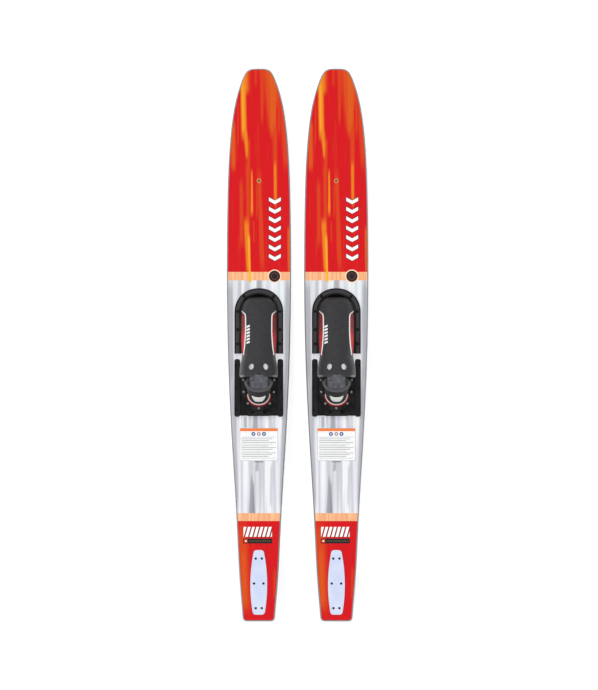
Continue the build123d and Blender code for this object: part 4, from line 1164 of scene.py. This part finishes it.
# %% panels, piping and bars
# along, across
PIPING = [
    (830.0, 46.5), (864.0, 42.5), (911.0, 40.3), (948.0, 40.6), (958.0, 42.0), (966.0, 49.0), (971.0, 52.2),
]
PIPING_POINTS = [830.0 + 141.0 * step / 70 for step in range(71)]
PANEL_REAR, PANEL_FRONT, PANEL_FOOT = 833.0, 969.5, 1.16
BARS_REAR, BARS_APART = 868.0, 10.2


def piping_way(along):
    return way_to(along, glide(PIPING, along))


def panel(hand):
    """The skin between the piping and the frame on one flank."""
    rows = []
    for row in range(41):
        along = PANEL_REAR + (PANEL_FRONT - PANEL_REAR) * row / 40
        top = piping_way(along)
        rows.append([(along, hand * (top + (PANEL_FOOT - top) * step / 10)) for step in range(11)])
    outer = [[on_vamp(along, way, 0.9) for along, way in row] for row in rows]
    inner = [[on_vamp(along, way, -0.4) for along, way in row] for row in rows]
    return closed_shell(outer, inner)


def piping(hand):
    """A bead along the upper edge of one panel."""
    return tube([on_vamp(along, hand * piping_way(along), 0.7) for along in PIPING_POINTS], 1.9, sides=10)


def white_bars():
    """Six short slanted bars up the left flank."""
    shapes = []
    for bar in range(6):
        rows = []
        for step in range(5):
            along = BARS_REAR + bar * BARS_APART + step * 1.5
            line = [(along + 0.35 * (x + 27.5), way_to(along, x)) for x in (-37.8, -34.4, -31.0, -27.6)]
            rows.append(line)
        outer = [[on_vamp(along, way, 0.55) for along, way in row] for row in rows]
        inner = [[on_vamp(along, way, -0.3) for along, way in row] for row in rows]
        shapes.append(closed_shell(outer, inner))
    return joined(*shapes)


for side in SIDES:
    piece("side_panels", side, joined(panel(-1), panel(1)), "ski", PANEL_RUBBER)
    piece("piping", side, joined(piping(-1), piping(1)), "ski", WHITE_RUBBER)
    piece("flank_bars", side, white_bars(), "ski", WHITE_RUBBER)
print("panels and piping made")

# %% [markdown]
# ## The toe frame
#
# A black moulded horseshoe clamps the flange. Its section has a rounded outer rim, a flat channel where
# the screws sit, and a taller inner step. It is drawn once as a profile and swept round the horseshoe,
# then drilled for the eight screw heads.

# %% the frame
FRAME_PROFILE = [
    (0.0, 28.0), (0.0, 32.4), (0.4, 33.7), (1.4, 34.5), (2.9, 34.5), (3.8, 33.7), (4.3, 32.9), (14.0, 32.9),
    (14.6, 33.5), (14.9, 35.2), (15.7, 36.0), (18.6, 36.0), (19.6, 35.4), (20.0, 34.2), (20.0, 28.0),
]
SCREW_ROWS = [(46.0, 1017.0), (66.0, 970.0), (66.5, 913.0), (66.5, 868.0)]
TOE_SCREWS = [(hand * x, y) for x, y in SCREW_ROWS for hand in (-1, 1)]
SCREW_HOLE = 5.1
frame_path = horseshoe(FRAME_HALF_WIDTH, FRAME_REAR, FRAME_FRONT)

for side in SIDES:
    shape = swept_horseshoe(frame_path, FRAME_PROFILE)
    bar = piece("frame", side, shape, "ski", FRAME_BLACK, ["toe_frame"])
    drill(bar, upright_bits(side, TOE_SCREWS, SCREW_HOLE, SCREW_HOLE, 20.0, 60.0))
print("frame faces", len(bar.data.polygons))

# %% [markdown]
# ## The heel cup
#
# The cup is a rubber wall round the heel, open to the front. It leans in as it rises at the back, its top
# edge slopes down to the front, and a thick rolled collar runs along it. A red band and a white line
# circle its foot. Like the vamp, one function gives its skin: how far round, and how high above the
# plate.

# %% the cup's skin
PLATE_TOP = 29.3
# height above the plate, half width, rear end and front end
CUP = [
    (0.0, 39.5, 670.5, 770.0),
    (13.0, 34.8, 676.5, 769.0),
    (30.0, 33.2, 683.0, 768.0),
    (60.0, 39.0, 700.0, 764.0),
    (79.0, 46.3, 716.0, 760.0),
]
CUP_WALL = 5.0
CUP_TOP, CUP_TOP_REAR = CUP[-1][0], CUP[-1][2]
CUP_SLOPE = 0.78  # how fast the top edge falls towards the front
CUP_AROUND = 77
CUP_MIDDLE = CUP_AROUND // 2


def cup_rings(height, wall):
    """The cup's outline at one height, drawn in by wall."""
    half_width, rear, front = glide(CUP, height)
    return [point for point, inward in horseshoe(half_width - wall, front, rear + wall)]


def cup_point(index, share, wall):
    """A point of the wall: round by index, and up by share of the height there."""
    height = CUP_TOP
    for attempt in range(4):
        height = CUP_TOP - CUP_SLOPE * max(cup_rings(height, wall)[index].y - CUP_TOP_REAR, 0)
    here = cup_rings(height * share, wall)[index]
    return Vector((here.x, here.y, PLATE_TOP + height * share))


def cup_band(low, high, lift, reach, steps=4):
    """A thin band round the foot of the cup between two heights, over the middle reach of its outline."""
    walls = []
    for wall in (-lift, 0.5):
        rows = []
        for height in [low + (high - low) * step / steps for step in range(steps + 1)]:
            ring = cup_rings(height, wall)[CUP_MIDDLE - reach:CUP_MIDDLE + reach + 1]
            rows.append([point + Vector((0, 0, PLATE_TOP + height)) for point in ring])
        walls.append(rows)
    return closed_shell(*walls)


CUP_STEPS = 16
cup_outer, cup_inner = [], []
for rows, wall in ((cup_outer, 0.0), (cup_inner, CUP_WALL)):
    for step in range(CUP_STEPS + 1):
        rows.append([cup_point(index, step / CUP_STEPS, wall) for index in range(CUP_AROUND)])
collar_path = [cup_point(index, 1.0, CUP_WALL / 2) for index in range(3, CUP_AROUND - 3)]
print("cup grid", len(cup_outer), "by", len(cup_outer[0]), "collar ends at", round(collar_path[0].y, 1))

# %% cup, collar and bands
CUP_FLANGE = [(0.0, 29.35), (0.0, 32.4), (0.4, 32.75), (13.4, 32.75), (13.4, 29.35)]
BADGE_LOW, BADGE_HIGH, BADGE_REACH = 36.0, 57.0, 10.0
COLLAR_RADIUS = 4.9
cup_flange = swept_horseshoe(horseshoe(54.0, 774.0, 660.0), CUP_FLANGE)


def cup_badge():
    """A blank pale badge on the sloping rear wall: straight above and curved below."""
    outer, inner = [], []
    for step in range(9):
        height = BADGE_LOW + (BADGE_HIGH - BADGE_LOW) * step / 8
        narrow = BADGE_REACH * (1 - 0.72 * (1 - step / 8) ** 2.4) ** 0.5
        for rows, wall in ((outer, -0.9), (inner, 0.5)):
            ring = cup_rings(height, wall)
            row = []
            for share in range(-8, 9):
                spot = CUP_MIDDLE + narrow * share / 8
                point = ring[int(spot)].lerp(ring[int(spot) + 1], spot - int(spot))
                row.append(point + Vector((0, 0, PLATE_TOP + height)))
            rows.append(row)
    return closed_shell(outer, inner)


from_end = [min(index, len(collar_path) - 1 - index) for index in range(len(collar_path))]
collar_radii = [min(1.0, 0.72 + 0.07 * steps) * COLLAR_RADIUS for steps in from_end]
for side in SIDES:
    cup = joined(closed_shell(cup_outer, cup_inner), cup_flange)
    piece("heel_boot", side, cup, "heel", CUP_RUBBER, ["heel_cup"])
    collar = tube(collar_path, collar_radii, sides=16, flat=0.85)
    piece("heel_collar", side, collar, "heel", COLLAR_RUBBER)
    piece("heel_red_band", side, cup_band(3.6, 13.0, 0.7, 27), "heel", RED_RUBBER)
    piece("heel_white_line", side, cup_band(13.2, 18.4, 1.1, 27), "heel", WHITE_RUBBER)
    piece("heel_badge", side, cup_badge(), "heel", WHITE_RUBBER)
print("heel boot made")

# %% [markdown]
# ## Footbeds
#
# Under the toes and the heel lie pads of closed-cell foam, crowned a little, soft at the edge and ribbed
# across the foot for grip. Each is a grid across a horseshoe outline whose rim is pulled down to the
# plate, over a flat underside. Real foam hardly moves, so no simulation is needed: the crown and ribs are
# modelled.


# %% pads
CROWN, RIB_DEPTH = 0.9, 0.35
PAD_ROWS, PAD_COLUMNS = 90, 40


def pad(half_width, open_end, closed_end, base, thick, rib):
    """A crowned, ribbed foam pad in a horseshoe outline."""
    way = 1 if closed_end > open_end else -1
    length = abs(closed_end - open_end)
    rows, under = [], []
    for row in range(PAD_ROWS + 1):
        ahead = length * row / PAD_ROWS
        from_end = length - ahead
        width = half_width
        if from_end < half_width:
            share = 1 - from_end / half_width
            width = max(half_width * (1 - share**ROUNDNESS) ** (1 / ROUNDNESS), 0.5)
        soft = min(1.0, (from_end / 2.5) ** 0.5, ((ahead + 0.05) / 2.0) ** 0.5)
        top, low = [], []
        for column in range(PAD_COLUMNS + 1):
            turn = -pi / 2 + pi * column / PAD_COLUMNS
            x = width * sin(turn)
            edge = (1 - abs(sin(turn)) ** 14) ** 0.5 * soft
            crown = CROWN * (1 - (x / half_width) ** 2)
            ribs = RIB_DEPTH * sin(2 * pi * ahead / rib) * edge
            low.append(Vector((x, open_end + way * ahead, base)))
            top.append(low[-1] + Vector((0, 0, (thick - CROWN + crown + ribs) * edge)))
        rows.append(top)
        under.append(low)
    return closed_shell(rows, under)


for side in SIDES:
    heel_shape = pad(31.5, 773.0, 682.0, PLATE_TOP, 7.0, 5.0)
    toe_shape = pad(44.5, 840.0, 1007.0, 24.0, 10.0, 6.0)
    heel_pad = piece("heel_pad", side, heel_shape, "heel", FOAM, ["heel_footbed"])
    toe_pad = piece("toe_pad", side, toe_shape, "ski", FOAM, ["toe_footbed"])
print("pads made")

# %% [markdown]
# ## The size panel
#
# A pale printed panel is stuck across the deck behind the rails: a bright header bar, three dots and
# ruled lines, with no words. It is a real thin sticker that drapes over the deck, so it is a fine grid
# dropped onto the sheet by casting rays down on it.

# %% the panel's print
# left, right, lower and upper edge, and how far the sticker stands proud and reaches in
PANEL = (-59.5, 59.5, 502.0, 604.0)
PANEL_PROUD, PANEL_SUNK = 0.16, 0.1


def panel_print():
    finish = Finish("size_panel_print", roughness=0.3, coat=0.5, coat_roughness=0.06)
    place = finish.ski_place()
    across, along, up = place
    worn = finish.noise(finish.stretched(place, 9.0, 12.0, 10.0), detail=4.0)
    ground = finish.blend(finish.fade(worn, 0.4, 0.7), ink(242, 242, 243), ink(232, 233, 236))
    colour = boxed(finish, ink(146, 148, 154), across, along, (-58.6, 58.6, 502.9, 603.1), ground)
    colour = boxed(finish, colour, across, along, (-58.6, 58.6, 594.6, 603.1), ink(238, 122, 52))
    for row in range(13):
        line = 577.0 - row * 5.5
        grey = ink(150, 152, 150) if row % 4 else ink(186, 188, 186)
        sides = (-54.0, 53.0 - 11.0 * (row % 3), line - 1.8, line)
        colour = boxed(finish, colour, across, along, sides, grey)
    blue, dusk = ink(44, 84, 140), ink(170, 150, 148)
    for x, tone in ((-17.0, blue), (0.0, dusk), (16.0, blue)):
        colour = disc(finish, colour, across, along, (x, 586.0), 6.4, tone)
        colour = disc(finish, colour, across, along, (x, 586.0), 2.6, ink(216, 220, 228))
    finish.colour(colour)
    finish.roughness(finish.fade(worn, 0.3, 0.7, 0.24, 0.4))
    finish.bump(worn, 0.1, 0.03)
    return finish.material


# %% the panel's sheet
def deck_below(side):
    """A ray-caster on the printed sheet, in ski millimetres."""
    sheet = frame["nodes"][side + "_top_sheet"].data
    to_ski = TO_FLOOR[side].inverted()
    points = [to_ski @ corner.co for corner in sheet.vertices]
    return BVHTree.FromPolygons(points, [tuple(face.vertices) for face in sheet.polygons])


PANEL_PRINT = panel_print()
for side in SIDES:
    caster = deck_below(side)
    rows, under = [], []
    for row in range(41):
        along = PANEL[2] + (PANEL[3] - PANEL[2]) * row / 40
        line = [PANEL[0] + (PANEL[1] - PANEL[0]) * column / 16 for column in range(17)]
        hits = [caster.ray_cast(Vector((x, along, 60)), Vector((0, 0, -1)))[0] for x in line]
        rows.append([Vector((x, along, hit.z + PANEL_PROUD)) for x, hit in zip(line, hits)])
        under.append([Vector((x, along, hit.z - PANEL_SUNK)) for x, hit in zip(line, hits)])
    piece("size_panel", side, closed_shell(rows, under), "ski", PANEL_PRINT)
print("panel laid")

# %% [markdown]
# ## Floor, light and camera
#
# The pair lies on a plain pale floor under broad soft light, and the camera looks straight down from high
# above with a long lens, so the skis look as flat and true as on a page.

# %% floor
bpy.context.view_layer.update()
floor_mesh = bpy.data.meshes.new("floor")
FLOOR_REACH = 14.0
corners = [(x * FLOOR_REACH, y * FLOOR_REACH, 0) for x, y in ((-1, -1), (1, -1), (1, 1), (-1, 1))]
floor_mesh.from_pydata(corners, [], [(0, 1, 2, 3)])
floor = bpy.data.objects.new("floor", floor_mesh)
bpy.context.scene.collection.objects.link(floor)
paper = Finish("floor_paper", roughness=0.9, specular=0.1)
spread = paper.noise(paper.add("ShaderNodeTexCoord", out=3), 0.8, 2.0)
paper.colour(paper.blend(spread, (0.96, 0.96, 0.96, 1), (0.975, 0.975, 0.975, 1)))
floor_mesh.materials.append(paper.material)

# %% light
world = bpy.data.worlds.new("studio")
bpy.context.scene.world = world
world.use_nodes = True
world.node_tree.nodes["Background"].inputs["Color"].default_value = (1, 1, 1, 1)
world.node_tree.nodes["Background"].inputs["Strength"].default_value = 0.36


def softbox(name, place, size, power, mirrored=True):
    """A square soft light that faces the pair; one that is not mirrored leaves no glare on glossy faces."""
    light = bpy.data.lights.new(name, "AREA")
    light.size = size
    light.energy = power
    lamp = bpy.data.objects.new(name, light)
    lamp.location = place
    lamp.rotation_euler = (-Vector(place)).to_track_quat("-Z", "Y").to_euler()
    lamp.visible_glossy = mirrored
    bpy.context.scene.collection.objects.link(lamp)


softbox("key", (-2.6, 3.2, 4.6), 2.4, 60)
softbox("overhead", (0.0, 0.0, 13.5), 0.9, 1280, mirrored=False)

# %% camera
PICTURE_HEIGHT = 2.162  # metres of deck from the lower to the upper edge
DECK_HEIGHT = 0.05
SENSOR = 36.0
LENS = 200.0
camera_data = bpy.data.cameras.new("camera")
camera_data.lens = LENS
camera_data.sensor_width = SENSOR
camera_data.clip_end = 60.0
camera = bpy.data.objects.new("camera", camera_data)
camera.location = (0.0044, 0.0, DECK_HEIGHT + PICTURE_HEIGHT * LENS / SENSOR)
bpy.context.scene.collection.objects.link(camera)
bpy.context.scene.camera = camera
bpy.context.scene.view_settings.view_transform = "Standard"
